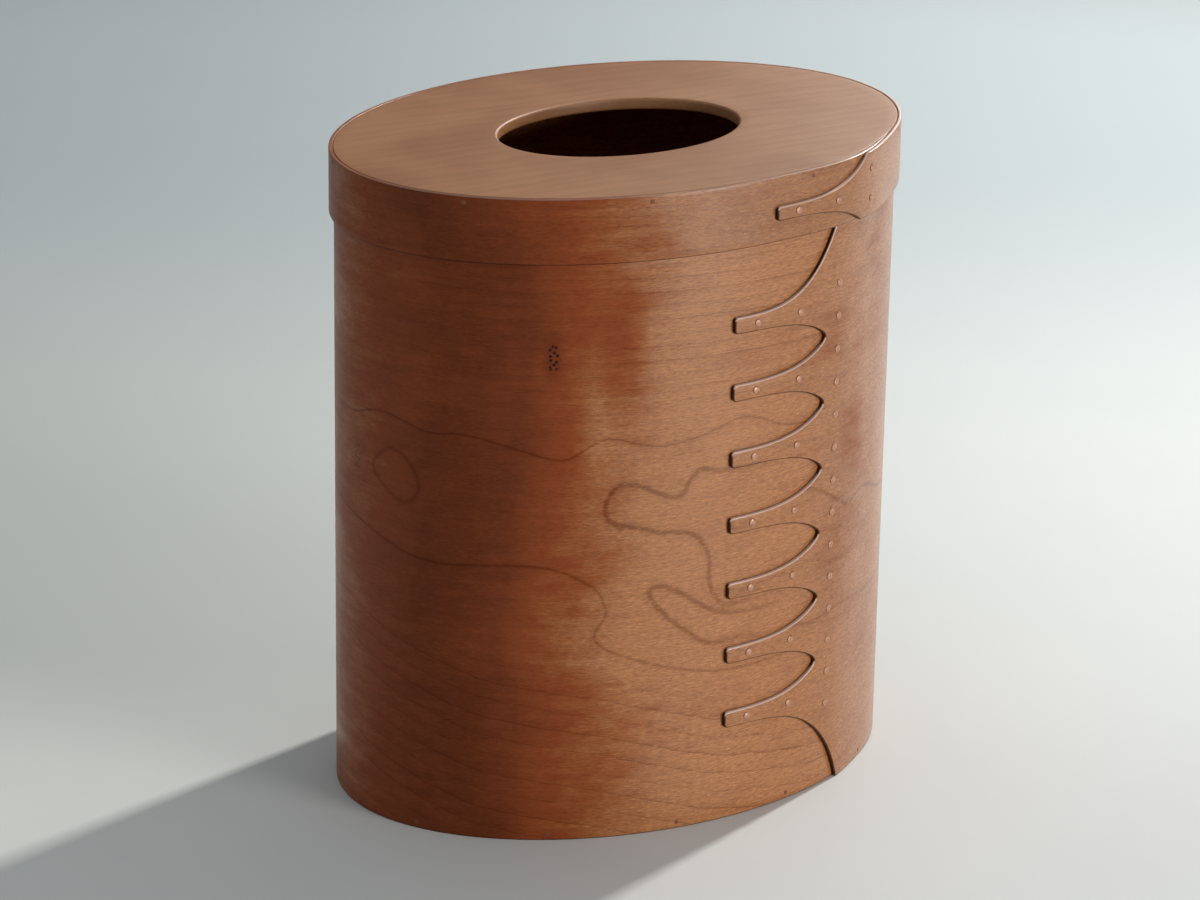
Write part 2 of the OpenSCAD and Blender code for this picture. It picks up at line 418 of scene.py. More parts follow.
@dataclass(frozen=True)
class Strip:
    """A thin strip, bent round the oval and lapped over its own feathered end.

    Attributes:
        name: Name of the finished piece.
        oval: The form.
        lap: The fingers of the outer end.
        bottom: Height of the lower rim.
        top: Height of the upper rim.
        thickness: Thickness of the strip.
        full: Distance up to which both layers lie one over the other.
        form: Distance of the single layer's outside from the oval, along the oval.
        gap: Gap between the layers.
        scarf: Length over which the outer layer comes down to the form.
        feather: Thickness of the inner end.
        rim_round: Radius of the rims' edges.
        cut_round: Radius of the edges round the fingers.
        feather_round: Radius of the inner end's edges.
        fine: Spacing of points up the strip over the lap and where the figure is strong.
        coarse: Spacing of points up the rest of the strip.
        run: Spacing of points along the strip.
        figured: Length before the lap where the figure is strong.
    """

    name: str
    oval: Oval
    lap: Lap
    bottom: float
    top: float
    thickness: float
    full: float
    form: Callable[[Array], Array]
    gap: float = 0.1
    scarf: float = 40.0
    feather: float = 0.35
    rim_round: float = 0.55
    cut_round: float = 0.75
    feather_round: float = 0.1
    fine: float = 3.0
    coarse: float = 16.0
    run: float = 3.0
    figured: float = 225.0

    def over(self, along: Array) -> Array:
        """1 where the outer layer lies over the inner one, falling to 0 past its end."""
        return 1.0 - smooth_step((along - self.full) / self.scarf)

    def inner_end(self) -> float:
        """Finds where the inner end has thinned to its feather.

        Returns:
            The distance along the oval.
        """
        wanted = (self.feather + self.gap) / (self.thickness + self.gap)
        along = np.arange(self.full, self.full + self.scarf, 0.05)
        return float(along[self.over(along) >= wanted][-1])

    def outside(self, along: Array) -> Array:
        """Measures the strip's outer face.

        Args:
            along: Distances along the whole strip.

        Returns:
            Distances out from the oval.
        """
        lift = self.thickness + self.gap
        turn = self.oval.girth
        first = lift * self.over(along)
        second = lift * (self.over(along - turn) - 1.0)
        return self.form(along) + np.where(along < turn + self.lap.start, first, second)

    def inside(self, along: Array) -> Array:
        """Measures the strip's inner face.

        Args:
            along: Distances along the whole strip.

        Returns:
            Distances out from the oval.
        """
        turn = self.oval.girth
        outer_layer = self.outside(along) - self.thickness
        inner_layer = self.form(along) - self.thickness
        return np.where(along < turn + self.lap.start, outer_layer, inner_layer)

    def outline(self) -> tuple[Array, list[EdgeKind]]:
        """The flat outline of the strip, counter-clockwise seen from outside.

        Returns:
            The points, and the kind of edge that each one lies on.
        """
        lap = self.lap
        end = self.oval.girth + self.inner_end()
        low = lap.low_finger_z - lap.tip / 2
        high = lap.finger_z(lap.fingers - 1) + lap.tip / 2
        under = lap.edge(lap.under_reach, lap.under_z, low)
        near_rim = 1.0
        under = under[under[:, 1] > self.bottom + near_rim]
        over = lap.edge(lap.over_reach, lap.over_z, high)
        over = over[over[:, 1] < self.top - near_rim]
        first_low = under[0, 0] + self._step_out(under, self.bottom)
        first_high = over[0, 0] + self._step_out(over, self.top)
        points: list[Array] = []
        kinds: list[EdgeKind] = []

        def add(part: Array, kind: EdgeKind) -> None:
            """Adds a stretch of the outline."""
            points.append(part)
            kinds.extend([kind] * len(part))

        bottom_run = self._run(first_low, end)
        add(np.stack([bottom_run, np.full_like(bottom_run, self.bottom)], -1), EdgeKind.RIM)
        rise = np.arange(self.bottom, self.top, self.coarse)[1:]
        add(np.stack([np.full_like(rise, end), rise], -1), EdgeKind.FEATHER)
        top_run = self._run(first_high, end)[::-1]
        add(np.stack([top_run, np.full_like(top_run, self.top)], -1), EdgeKind.RIM)
        add(over, EdgeKind.CUT)
        add(lap.tip_corner(high, True), EdgeKind.CUT)
        for i in reversed(range(lap.fingers)):
            tip_low = lap.finger_z(i) - lap.tip / 2
            if i == 0:
                add(lap.tip_corner(tip_low, False)[::-1], EdgeKind.CUT)
                add(under[::-1], EdgeKind.CUT)
                continue
            next_high = lap.finger_z(i - 1) + lap.tip / 2
            arch_z = (tip_low + next_high) / 2
            add(lap.tip_corner(tip_low, False)[::-1], EdgeKind.CUT)
            into = lap.edge(lap.reach, arch_z, tip_low)[::-1]
            out_of = lap.edge(lap.reach, arch_z, next_high)[1:]
            apex = np.array([lap.start + lap.reach, arch_z])
            arch = soften(np.concatenate([into, out_of]), apex, lap.arch_soft, lap.arch_round)
            add(arch, EdgeKind.CUT)
            add(lap.tip_corner(next_high, True), EdgeKind.CUT)
        return np.concatenate(points), kinds

    @staticmethod
    def _step_out(edge: Array, rim: float) -> float:
        """How much further along a finger's curve meets a rim."""
        slope = (edge[0, 0] - edge[1, 0]) / (edge[0, 1] - edge[1, 1])
        return float(slope * (rim - edge[0, 1]))

    def _run(self, start: float, end: float) -> Array:
        """Evenly spaced distances along a rim, with both ends."""
        count = max(2, round((end - start) / self.run))
        return np.linspace(start, end, count + 1)

    def _filling(self) -> Array:
        """Spreads points over the strip, close together at the lap and at the strong figure.

        Returns:
            Points on the flat strip.
        """
        lap_end = self.full + 12.0
        figured = self.oval.girth - self.figured
        end = self.oval.girth + self.inner_end()
        parts = []
        for first, last, up in (
            (self.lap.start, lap_end, self.fine),
            (lap_end, figured, self.coarse),
            (figured, end, self.fine),
        ):
            along = np.arange(first, last, self.run)
            heights = np.arange(self.bottom, self.top, up)
            parts.append(np.stack(np.meshgrid(along, heights), -1).reshape(-1, 2))
        return np.concatenate(parts)

    def build(self) -> Object:
        """Makes the strip as one closed mesh with rounded edges.

        Returns:
            The strip, which stores where each point lies on the flat strip, and for points
            of an edge whether it is a cut, whether it lies on a rounded edge and how far it faces
            up, which the material reads for painted highlight and shade.
        """
        outline, kinds = self.outline()
        outer_radius = np.array([self._outer_radius(kind) for kind in kinds])
        inner_radius = np.array([self.rim_round if k is EdgeKind.RIM else 0.0 for k in kinds])
        thin = self.outside(outline[:, 0]) - self.inside(outline[:, 0])
        roundest = 0.4 * thin
        outer_radius = np.minimum(outer_radius, roundest)
        inner_radius = np.minimum(inner_radius, roundest)
        steps = 4
        insets, outer_drops = round_over(outer_radius, steps)
        _, inner_drops = round_over(inner_radius, steps)
        normals = inward_normals(outline)
        rings = [outline + normals * inset[:, None] for inset in insets]
        core = rings[-1]
        filling = self._filling()
        filling = filling[inside_outline(filling, core, 0.9)]
        count = len(outline)
        given = np.concatenate([core, filling])
        merge_within = 1e-5
        flat, _, triangles, origins, _, _ = delaunay_2d_cdt(
            [Vector(p) for p in given], [], [list(range(count))], 1, merge_within
        )
        if len(flat) != len(given):
            LOG.warning("%s: %d points became %d", self.name, len(given), len(flat))
        order = [
            origin[0] if origin else int(np.argmin(np.linalg.norm(given - np.array(spot), axis=1)))
            for spot, origin in zip(flat, origins)
        ]
        first_core = steps * count
        flat_all = np.concatenate([*rings[:-1], core, filling])
        drop_out = np.concatenate([*outer_drops, np.zeros(len(filling))])
        drop_in = np.concatenate([*inner_drops, np.zeros(len(filling))])
        faces_up = [[first_core + order[c] for c in tri] for tri in triangles]
        for first in range(0, first_core, count):
            faces_up += join_loops(first, first + count, count)
        total = len(flat_all)
        faces = list(faces_up)
        faces += [[total + c for c in reversed(face)] for face in faces_up]
        faces += [[(i + 1) % count, i, total + i, total + (i + 1) % count] for i in range(count)]
        out_up = self.outside(flat_all[:, 0]) - drop_out
        out_in = self.inside(flat_all[:, 0]) + drop_in
        verts = np.concatenate([self._place(flat_all, out_up), self._place(flat_all, out_in)])
        piece = make_object(self.name, verts, faces)
        depth = np.concatenate([-drop_out, out_in - out_up - drop_out])
        grain = np.column_stack([np.tile(flat_all, (2, 1)), depth])
        set_vectors(piece.data, GRAIN, grain * MM)
        cut = np.array([0.0 if kind is EdgeKind.RIM else 1.0 for kind in kinds])
        facing = -normals[:, 1] / np.maximum(np.linalg.norm(normals, axis=1), 1e-9)
        facing = np.where(cut > 0, facing, np.minimum(facing, RIM_FACING))
        edge = np.zeros((total, 3))
        edge[:count, 0] = cut
        # Points on the rounded edges, which the material paints with highlight or shade by how far
        # they face up.
        edge[:first_core, 1] = 1.0
        edge[:first_core, 2] = np.tile(facing, steps)
        edge_in = edge * (1.0, 0.0, 1.0)
        set_vectors(piece.data, EDGE, np.concatenate([edge, edge_in]))
        return piece

    def _outer_radius(self, kind: EdgeKind) -> float:
        """Radius of the outer edge for one kind of edge."""
        radii = {EdgeKind.RIM: self.rim_round, EdgeKind.CUT: self.cut_round}
        return radii.get(kind, self.feather_round)

    def _place(self, flat: Array, out: Array) -> Array:
        """Bends points of the flat strip round the oval."""
        plan = self.oval.at(flat[:, 0], out)
        return np.column_stack([plan, flat[:, 1]])


# --- The figure of the wood ---


def rounded_path(points: Sequence[Pair], closed: bool, rounds: int = 3) -> Array:
    """Rounds off the corners of a path by cutting them again and again.

    Args:
        points: The path's points.
        closed: True for a path that comes back to its start.
        rounds: How often the corners are cut.

    Returns:
        The smoother path.
    """
    path = np.array(points, dtype=float)
    for _ in range(rounds):
        after = np.roll(path, -1, axis=0) if closed else path[1:]
        here = path if closed else path[:-1]
        cut = np.stack([0.75 * here + 0.25 * after, 0.25 * here + 0.75 * after], 1).reshape(-1, 2)
        path = cut if closed else np.concatenate([path[:1], cut, path[-1:]])
    return path


@dataclass(frozen=True)
class GrowthLine:
    """One growth ring that the veneer's face cuts: a dark line on the wood.

    Attributes:
        points: Points of the line, as distance along the strip and height.
        strength: How dark the line is.
        width: Width of the line, 1 for a broad one.
        closed: True for a ring that closes on itself.
        fade_in: The line is nothing left of this distance.
        fade_out: The line is nothing right of this distance.
        fade: Length over which the line fades.
        ceiling: Height that closes the region above an open line, above the strip.
    """

    points: tuple[Pair, ...]
    strength: float = 1.0
    width: float = 1.0
    closed: bool = False
    fade_in: float = -1e4
    fade_out: float = 1e4
    fade: float = 60.0
    ceiling: float = 900.0

    def shown(self, along: Array) -> Array:
        """Share of the line that shows at distances along the strip."""
        start = smooth_step((along - self.fade_in) / self.fade)
        return start * smooth_step((self.fade_out - along) / self.fade)

    def measure(self, flat: Array) -> tuple[Array, Array]:
        """Distance of points from the line, in its widths, and the side they lie on.

        Args:
            flat: Points on the flat strip.

        Returns:
            The distances, and True for points inside a ring or above an open line.
        """
        path = rounded_path(self.points, self.closed)
        ends = np.roll(path, -1, axis=0) if self.closed else path[1:]
        starts = path if self.closed else path[:-1]
        side = ends - starts
        length2 = np.maximum((side**2).sum(axis=1), 1e-9)
        rel = flat[:, None, :] - starts[None, :, :]
        share = np.clip((rel * side).sum(axis=2) / length2, 0, 1)
        gap = np.linalg.norm(rel - share[..., None] * side, axis=2).min(axis=1) / self.width
        region = path
        if not self.closed:
            corners = [(path[-1, 0], self.ceiling), (path[0, 0], self.ceiling)]
            region = np.concatenate([path, corners])
        return gap, inside_outline(flat, region, 0.0)


@dataclass(frozen=True)
class Figure:
    """The strong lines of a strip's figure, and the quiet rings between them.

    Attributes:
        lines: The strong lines.
        shift: Distance that is added to the lines' own, to reach their place on the strip.
        reach: Distance beyond which a strong line isn't felt.
    """

    lines: tuple[GrowthLine, ...]
    shift: float
    reach: float = 14.0

    def measure(self, flat: Array) -> tuple[Array, Array]:
        """Signed distance of points from the nearest strong line, and that line's strength.

        Args:
            flat: Points on the flat strip.

        Returns:
            The distances, which change sign at each line, and the strengths.
        """
        local = flat - np.array([self.shift, 0.0])
        nearest = np.full(len(flat), 1e3)
        strength = np.zeros(len(flat))
        side = np.ones(len(flat))
        for line in self.lines:
            gap, inside = line.measure(local)
            strength = np.where(gap < nearest, line.strength * line.shown(local[:, 0]), strength)
            nearest = np.minimum(nearest, gap)
            side = np.where(inside, -side, side)
        return side * np.minimum(nearest, self.reach), strength


BODY_LINES = (
    GrowthLine(
        (
            (-380, 168), (-300, 158), (-240, 161), (-195, 154), (-171, 148), (-157, 143),
            (-141, 141), (-125, 142), (-103, 144), (-83, 142), (-71, 136), (-62, 130), (-57, 118),
            (-62, 111), (-65, 106), (-59, 99), (-45, 93), (-29, 87), (-11, 82), (5, 79), (35, 79),
            (60, 82), (115, 88),
        ),
        strength=0.75,
        width=0.55,
        fade_in=-360.0,
    ),
    GrowthLine(
        (
            (-380, 222), (-300, 214), (-240, 209), (-195, 204), (-175, 213), (-157, 210),
            (-145, 206), (-127, 209), (-103, 203), (-85, 197), (-77, 197), (-67, 204), (-57, 208),
            (-45, 203), (-29, 200), (-7, 204), (7, 209), (15, 209), (27, 204), (37, 199), (60, 197),
            (115, 203),
        ),
        strength=0.78,
        width=0.45,
        fade_in=-360.0,
    ),
    GrowthLine(
        (
            (75, 175), (43, 178), (25, 183), (3, 183), (-5, 185), (-12, 187), (-18, 181),
            (-20, 174), (-27, 174), (-35, 178), (-45, 183), (-54, 183), (-59, 176), (-60, 168),
            (-55, 163), (-45, 161), (-33, 157), (-23, 156), (-14, 154), (-9, 148), (-5, 140),
            (-6, 130), (-4, 122), (2, 114), (12, 113), (75, 116),
        ),
        strength=1.0,
        closed=True,
        fade_out=42.0,
    ),
    GrowthLine(
        (
            (75, 107), (20, 108), (8, 109), (0, 111), (-8, 115), (-17, 122), (-25, 127), (-32, 130),
            (-38, 128), (-36, 122), (-27, 112), (-15, 102), (-6, 95), (5, 95), (17, 96), (29, 93),
            (75, 92),
        ),
        strength=1.0,
        closed=True,
        fade_out=48.0,
    ),
    GrowthLine(
        (
            (-179, 184), (-170, 194), (-161, 195), (-152, 187), (-149, 176), (-157, 167),
            (-167, 172), (-176, 179),
        ),
        strength=0.6,
        width=0.8,
        closed=True,
    ),
    GrowthLine(
        ((-112, 174), (-107, 179), (-102, 174), (-107, 169)),
        strength=0.28,
        closed=True,
    ),
)

OUTER_LINES = (
    GrowthLine(
        (
            (-10, 178), (30, 172), (50, 165), (66, 158), (78, 149), (86, 145), (95, 149),
            (105, 150), (125, 141), (170, 133), (240, 138), (330, 150), (400, 158),
        ),
        strength=0.75,
        width=0.8,
        fade_out=380.0,
    ),
    GrowthLine(
        (
            (-10, 95), (20, 96), (44, 94), (60, 92), (72, 95), (86, 95), (112, 91), (170, 97),
            (240, 92), (330, 98), (400, 94),
        ),
        strength=0.55,
        width=0.8,
        fade_out=380.0,
    ),
)

Curve = tuple[Pair, ...]


@dataclass(frozen=True)
class Patch:
    """A soft round patch on the flat strip.

    Attributes:
        place: Distance along the strip and height of its middle.
        size: How far it reaches along the strip and up it.
        share: How much it adds in its middle.
    """

    place: Pair
    size: Pair
    share: float


# All curves go from a distance along the strip to a value, but for RUDDY_SHIFT, which starts
# from a height. Distances are measured from the middle of the front, to the left below 0.
LOW_RING: Curve = ((-380, 150), (-195, 128), (-120, 103), (-60, 92), (0, 73), (60, 62), (110, 60))
HIGH_RING: Curve = ((-380, 226), (-195, 222), (-60, 218), (0, 216), (110, 212))
RUDDY_SHIFT: Curve = ((0, -3), (60, 5), (100, -6), (140, -2), (190, 0), (235, 8), (320, 8))
# The ruddy, darker wood on the left of the front is partly the wood's own tone and partly painted
# shade where the wall turns from the light; DARK_STRIPE is its darkest stretch.
DARK_STRIPE: Curve = (
    (-300, 0.5), (-190, 0.8), (-165, 1.25), (-145, 1.9), (-125, 1.92), (-105, 1.7),
)
INNER_RUDDY: Curve = (
    (-370, 0.25), *DARK_STRIPE, (-90, 1.05), (-75, 0.78), (-60, 0.55), (-45, 0.25), (-28, 0.0),
)
INNER_PALE: Curve = ((-370, -0.7), (-300, 0.0), (0, 0.0), (45, -0.3), (115, -0.9))
OUTER_RUDDY: Curve = ((60, 0.0), (90, 0.12), (260, 0.0), (410, 0.25))
OUTER_PALE: Curve = ((30, -0.7), (70, -0.9), (110, -1.6), (240, -1.0), (410, -0.7))
LID_RING_DROP: Curve = ((-300, 4), (-90, 7), (-45, 0), (0, -6), (60, -12))
LID_RUDDY: Curve = (
    (-390, 0.25), *DARK_STRIPE, (-90, 1.35), (-75, 1.1), (-60, 0.85), (-45, 0.55), (-30, 0.3),
    (-10, 0.0), (240, 0.0), (390, 0.25),
)
LID_PALE: Curve = (
    (-390, -0.7), (-60, -0.3), (-25, -0.5), (7, -1.4), (60, -1.6), (110, -1.5), (240, -1.0),
    (390, -0.7),
)
INNER_RUDDY_PATCHES = (
    Patch((-50, 252), (12, 34), 0.55),
    Patch((-104, 200), (26, 14), 0.2),
    # Less ruddy here, under the painted sheen streak of INNER_PALE_PATCHES.
    Patch((-64, 212), (7, 26), -0.35),
    Patch((-40, 110), (26, 30), -0.25),
)
# The first pale patch is a painted sheen: an upright bright streak where the curly figure catches
# the light.
INNER_PALE_PATCHES = (Patch((-62, 205), (8, 26), 0.5), Patch((-50, 75), (9, 60), 0.5))
OUTER_RUDDY_PATCHES = (
    Patch((88, 185), (14, 26), 0.45),
    Patch((100, 260), (30, 40), 0.25),
    Patch((62, 243), (12, 16), 0.22),
    Patch((72, 128), (20, 20), 0.2),
)


def follow(curve: Curve, at: Array) -> Array:
    """Reads a curve at any places."""
    places, values = zip(*curve)
    return np.interp(at, places, values)


def add_patches(patches: Sequence[Patch], flat: Array) -> Array:
    """Adds up soft round patches.

    Args:
        patches: The patches.
        flat: Points on the flat strip.

    Returns:
        What all the patches add at each point.
    """
    total = np.zeros(len(flat))
    for patch in patches:
        away = ((flat - np.array(patch.place)) / np.array(patch.size)) ** 2
        total += patch.share * np.exp(-away.sum(axis=1))
    return total


def read_flat(mesh: bpy.types.Mesh) -> Array:
    """Reads where each point of a band lies on its flat strip.

    Args:
        mesh: The band's mesh.

    Returns:
        Distances along the strip and heights, in millimetres.
    """
    grain = np.zeros(len(mesh.vertices) * 3, dtype=np.float32)
    mesh.attributes[GRAIN].data.foreach_get("vector", grain)
    return grain.reshape(-1, 3)[:, :2].astype(float) / MM


# --- Node trees ---

Socket = bpy.types.NodeSocket
Value = float | Socket
Place = tuple[Socket, Socket, Socket]
Colour = Triple


class Wiring:
    """Adds nodes to a tree and wires them up with short calls."""

    def __init__(self, tree: bpy.types.NodeTree) -> None:
        """Takes the tree that the nodes go into."""
        self.tree = tree

    def node(
        self, kind: str, links: dict[str | int, object] | None = None, **settings: object
    ) -> bpy.types.Node:
        """Adds a node.

        Args:
            kind: Kind of node.
            links: A socket or a value for each input that is set.
            settings: Properties of the node.

        Returns:
            The node.
        """
        made = self.tree.nodes.new(kind)
        for key, value in settings.items():
            setattr(made, key, value)
        for key, value in (links or {}).items():
            self.feed(made.inputs[key], value)
        return made

    def feed(self, socket: Socket, value: object) -> None:
        """Links an input to an output, or sets its value.

        Args:
            socket: The input.
            value: The output or the value.
        """
        if isinstance(value, bpy.types.NodeSocket):
            self.tree.links.new(value, socket)
        else:
            socket.default_value = value

    def math(
        self, operation: str, a: Value, b: Value = 0.0, c: Value = 0.0, clamp: bool = False
    ) -> Socket:
        """One step of arithmetic."""
        links = {0: a, 1: b, 2: c}
        return self.node("ShaderNodeMath", links, operation=operation, use_clamp=clamp).outputs[0]

    def plus(self, a: Value, b: Value) -> Socket:
        """Adds two numbers."""
        return self.math("ADD", a, b)

    def times(self, a: Value, b: Value) -> Socket:
        """Multiplies two numbers."""
        return self.math("MULTIPLY", a, b)

    def line(self, x: Value, slope: Value, start: Value) -> Socket:
        """Multiplies a number by a slope and adds a start."""
        return self.math("MULTIPLY_ADD", x, slope, start)

    def ramp(
        self, value: Socket, low: float, high: float, a: float = 0.0, b: float = 1.0
    ) -> Socket:
        """Turns low to high smoothly into a to b."""
        links = dict(enumerate((value, low, high, a, b)))
        return self.node("ShaderNodeMapRange", links, interpolation_type="SMOOTHSTEP").outputs[0]

    def vector(self, operation: str, a: object, b: object) -> Socket:
        """One step of vector arithmetic."""
        return self.node("ShaderNodeVectorMath", {0: a, 1: b}, operation=operation).outputs[0]

    def length(self, vector: Socket) -> Socket:
        """Length of a vector."""
        made = self.node("ShaderNodeVectorMath", {0: vector}, operation="LENGTH")
        return made.outputs["Value"]

    def dot(self, a: object, b: object) -> Socket:
        """Dot product of two vectors."""
        made = self.node("ShaderNodeVectorMath", {0: a, 1: b}, operation="DOT_PRODUCT")
        return made.outputs["Value"]

    def split(self, vector: Socket) -> Place:
        """Splits a vector into its three numbers."""
        made = self.node("ShaderNodeSeparateXYZ", {0: vector})
        return made.outputs[0], made.outputs[1], made.outputs[2]

    def join(self, x: Value, y: Value, z: Value) -> Socket:
        """Joins three numbers into a vector."""
        return self.node("ShaderNodeCombineXYZ", {0: x, 1: y, 2: z}).outputs[0]


class Sketch(Wiring):
    """Builds a material."""

    def __init__(self, name: str) -> None:
        """Starts a material with an empty node tree.

        Args:
            name: Name of the material.
        """
        self.material = bpy.data.materials.new(name)
        self.material.use_nodes = True
        super().__init__(self.material.node_tree)
        self.tree.nodes.clear()

    def attribute(self, name: str) -> Socket:
        """Reads a vector that is stored on the mesh."""
        return self.node("ShaderNodeAttribute", attribute_name=name).outputs["Vector"]

    def own_place(self) -> Socket:
        """Place on the piece in metres."""
        return self.node("ShaderNodeTexCoord").outputs["Object"]

    def millimetres(self, place: Socket) -> Socket:
        """Turns a place in metres into millimetres."""
        return self.vector("MULTIPLY", place, (PER_METRE,) * 3)

    def noise(self, at: Socket, scale: float, detail: float, rough: float) -> Socket:
        """Noise between 0 and 1."""
        links = {"Vector": at, "Scale": scale, "Detail": detail, "Roughness": rough}
        return self.node("ShaderNodeTexNoise", links, noise_dimensions="3D").outputs[0]

    def grain(
        self, place: Place, squeeze: float, scale: float, detail: float, rough: float
    ) -> Socket:
        """Noise that is drawn out along the grain, which follows the place's first number."""
        drawn = self.join(self.times(place[0], squeeze), place[1], place[2])
        return self.noise(drawn, scale, detail, rough)

    def blend(self, share: Value, a: object, b: object) -> Socket:
        """Mixes two colours."""
        made = self.node("ShaderNodeMix", {0: share, 6: a, 7: b}, data_type="RGBA")
        return made.outputs[2]

    def shade(self, share: Value, colour: Socket, tint: Colour) -> Socket:
        """Takes a colour part of the way to its own darker tint."""
        return self.blend(share, colour, self.vector("MULTIPLY", colour, tint))

    def finish(
        self, looks: dict[str, object], relief: Socket, strength: float, depth: float
    ) -> Material:
        """Closes the tree with one shader and a fine relief.

        Args:
            looks: A socket or a value for each of the shader's inputs that is set.
            relief: Height of the relief.
            strength: Strength of the relief.
            depth: Depth of the relief in metres.

        Returns:
            The material.
        """
        heights = {"Strength": strength, "Distance": depth, "Height": relief}
        bump = self.node("ShaderNodeBump", heights)
        shader = self.node("ShaderNodeBsdfPrincipled", {**looks, "Normal": bump.outputs[0]})
        self.node("ShaderNodeOutputMaterial", {"Surface": shader.outputs[0]})
        return self.material


def rgba(colour: Colour, share: float = 1.0) -> tuple[float, float, float, float]:
    """A colour with full cover, made darker by a share."""
    return (colour[0] * share, colour[1] * share, colour[2] * share, 1.0)


# --- Finishes ---


@dataclass(frozen=True)
class CherryVeneer:
    """Oiled cherry on a bent strip, whose grain runs along the strip.

    Attributes:
        name: Name of the material.
        light: Colour of the light wood.
        deep: Colour of the ruddy wood.
        deepest: Colour of the darkest wood, on the left of the front, where it is partly painted
            shade.
        edge: Colour of the painted highlight on the edges and cut sides that face up.
        end_grain: Colour of the cut sides, dark partly because the oil soaks into the end grain and
            partly as painted shade; also the painted shade on edges that face down.
        knot: Colour of a pin knot.
        shadow: Share of each colour that is left in a growth line.
        streak: Share that is left in a broad streak.
        hair: Share that is left in a fine streak.
        pore: Share that is left in a pore.
        halo: Share that is left round a group of pin knots.
        roughness: Roughness of the oiled face.
        knot_reach: Half width and half height of a group of pin knots, in millimetres.
        knots: Places of the groups on the strip in millimetres, and how dark they are.
    """

    name: str
    light: Colour = (0.535, 0.22, 0.070)
    deep: Colour = (0.30, 0.069, 0.020)
    deepest: Colour = (0.165, 0.037, 0.010)
    # edge is a painted highlight; end_grain is partly end grain and partly painted shade.
    edge: Colour = (0.74, 0.51, 0.42)
    end_grain: Colour = (0.035, 0.010, 0.006)
    knot: Colour = (0.022, 0.008, 0.005)
    shadow: Colour = (0.60, 0.44, 0.10)
    streak: Colour = (0.66, 0.56, 0.5)
    hair: Colour = (0.62, 0.52, 0.46)
    pore: Colour = (0.55, 0.44, 0.38)
    halo: Colour = (0.62, 0.5, 0.42)
    roughness: float = 0.34
    knot_reach: Pair = (3.6, 8.0)
    knots: tuple[Triple, ...] = ()

    def material(self) -> Material:
        """Builds the material.

        Returns:
            The material, which reads the strip's own attributes.
        """
        s = Sketch(self.name)
        flat = s.millimetres(s.attribute(GRAIN))
        place = s.split(flat)
        gap, strength, ring = s.split(s.attribute(FIGURE))
        quiet_share, ruddy_share, pale_share = s.split(s.attribute(TONE))
        streaks = s.grain(place, 0.045, 0.55, 4.0, 0.6)
        fine = s.grain(place, 0.14, 1.7, 3.0, 0.65)
        bend = s.grain(place, 0.5, 0.12, 3.0, 0.6)
        speck = s.grain(place, 0.22, 1.35, 3.0, 0.7)
        wander = s.line(bend, 3.0, -1.5)
        teeth = s.line(fine, 1.6, -0.8)
        ruddy = self._ruddiness(s, place, ruddy_share)
        body = s.blend(s.math("MINIMUM", ruddy, 1.0), rgba(self.light), rgba(self.deep))
        body = s.blend(s.math("SUBTRACT", ruddy, 1.0, clamp=True), body, rgba(self.deepest))
        level = s.line(pale_share, 0.13, 1.0)
        body = s.vector("MULTIPLY", body, s.join(level, level, level))
        lively = s.ramp(ruddy, 0.2, 1.3, 1.0, 0.42)
        body = s.shade(s.times(s.ramp(streaks, 0.32, 0.72, 0.0, 0.5), lively), body, self.streak)
        body = s.shade(s.times(s.ramp(fine, 0.35, 0.68, 0.0, 0.85), lively), body, self.hair)
        quiet = self._quiet_rings(s, ring, wander, streaks)
        body = s.shade(s.times(quiet, quiet_share), body, self.shadow)
        body = s.shade(self._strong_lines(s, gap, strength, wander, teeth), body, self.shadow)
        pores = s.ramp(speck, 0.53, 0.68)
        body = s.shade(s.times(pores, s.times(lively, 0.7)), body, self.pore)
        # Light flecks, partly the wood's ray flecks and partly painted glints, strongest on the
        # paler wood.
        flecks_and_glints = s.times(s.ramp(speck, 0.47, 0.34), s.ramp(ruddy, 0.9, 0.1, 0.03, 0.33))
        body = s.blend(flecks_and_glints, body, rgba(self.light, 1.5))
        for group in self.knots:
            body = self._pin_knots(s, body, flat, group)
        body, shine = self._paint_edge_light_and_shade(s, body, place[2])
        looks = {
            "Base Color": body,
            "Roughness": s.line(fine, 0.16, self.roughness - 0.08),
            "IOR": 1.5,
            "Specular IOR Level": s.times(s.ramp(ruddy, 0.1, 0.85, 0.5, 0.13), shine),
            "Coat Weight": s.times(s.ramp(ruddy, 0.05, 0.75, 0.4, 0.02), shine),
            "Coat Roughness": 0.24,
        }
        relief = s.math("SUBTRACT", s.times(fine, 0.8), s.times(pores, 0.7))
        return s.finish(looks, relief, 0.3, 0.00015)

    @staticmethod
    def _ruddiness(s: Sketch, place: Place, share: Socket) -> Socket:
        """Gives the ruddy parts cloudy and streaky borders.

        Args:
            s: The material.
            place: Distance along the strip, height and depth.
            share: How ruddy the wood is there, without clouds and streaks.

        Returns:
            How ruddy the wood is, 0 to 2.
        """
        cloud = s.ramp(s.grain(place, 0.7, 0.024, 4.0, 0.6), 0.34, 0.66, -0.15, 0.17)
        mottle = s.ramp(s.grain(place, 0.6, 0.09, 4.0, 0.65), 0.35, 0.65, -0.1, 0.1)
        streak = s.ramp(s.grain(place, 0.12, 0.22, 4.0, 0.6), 0.35, 0.65, -0.08, 0.08)
        return s.math("MAXIMUM", s.plus(s.plus(s.plus(cloud, share), mottle), streak), 0.0)

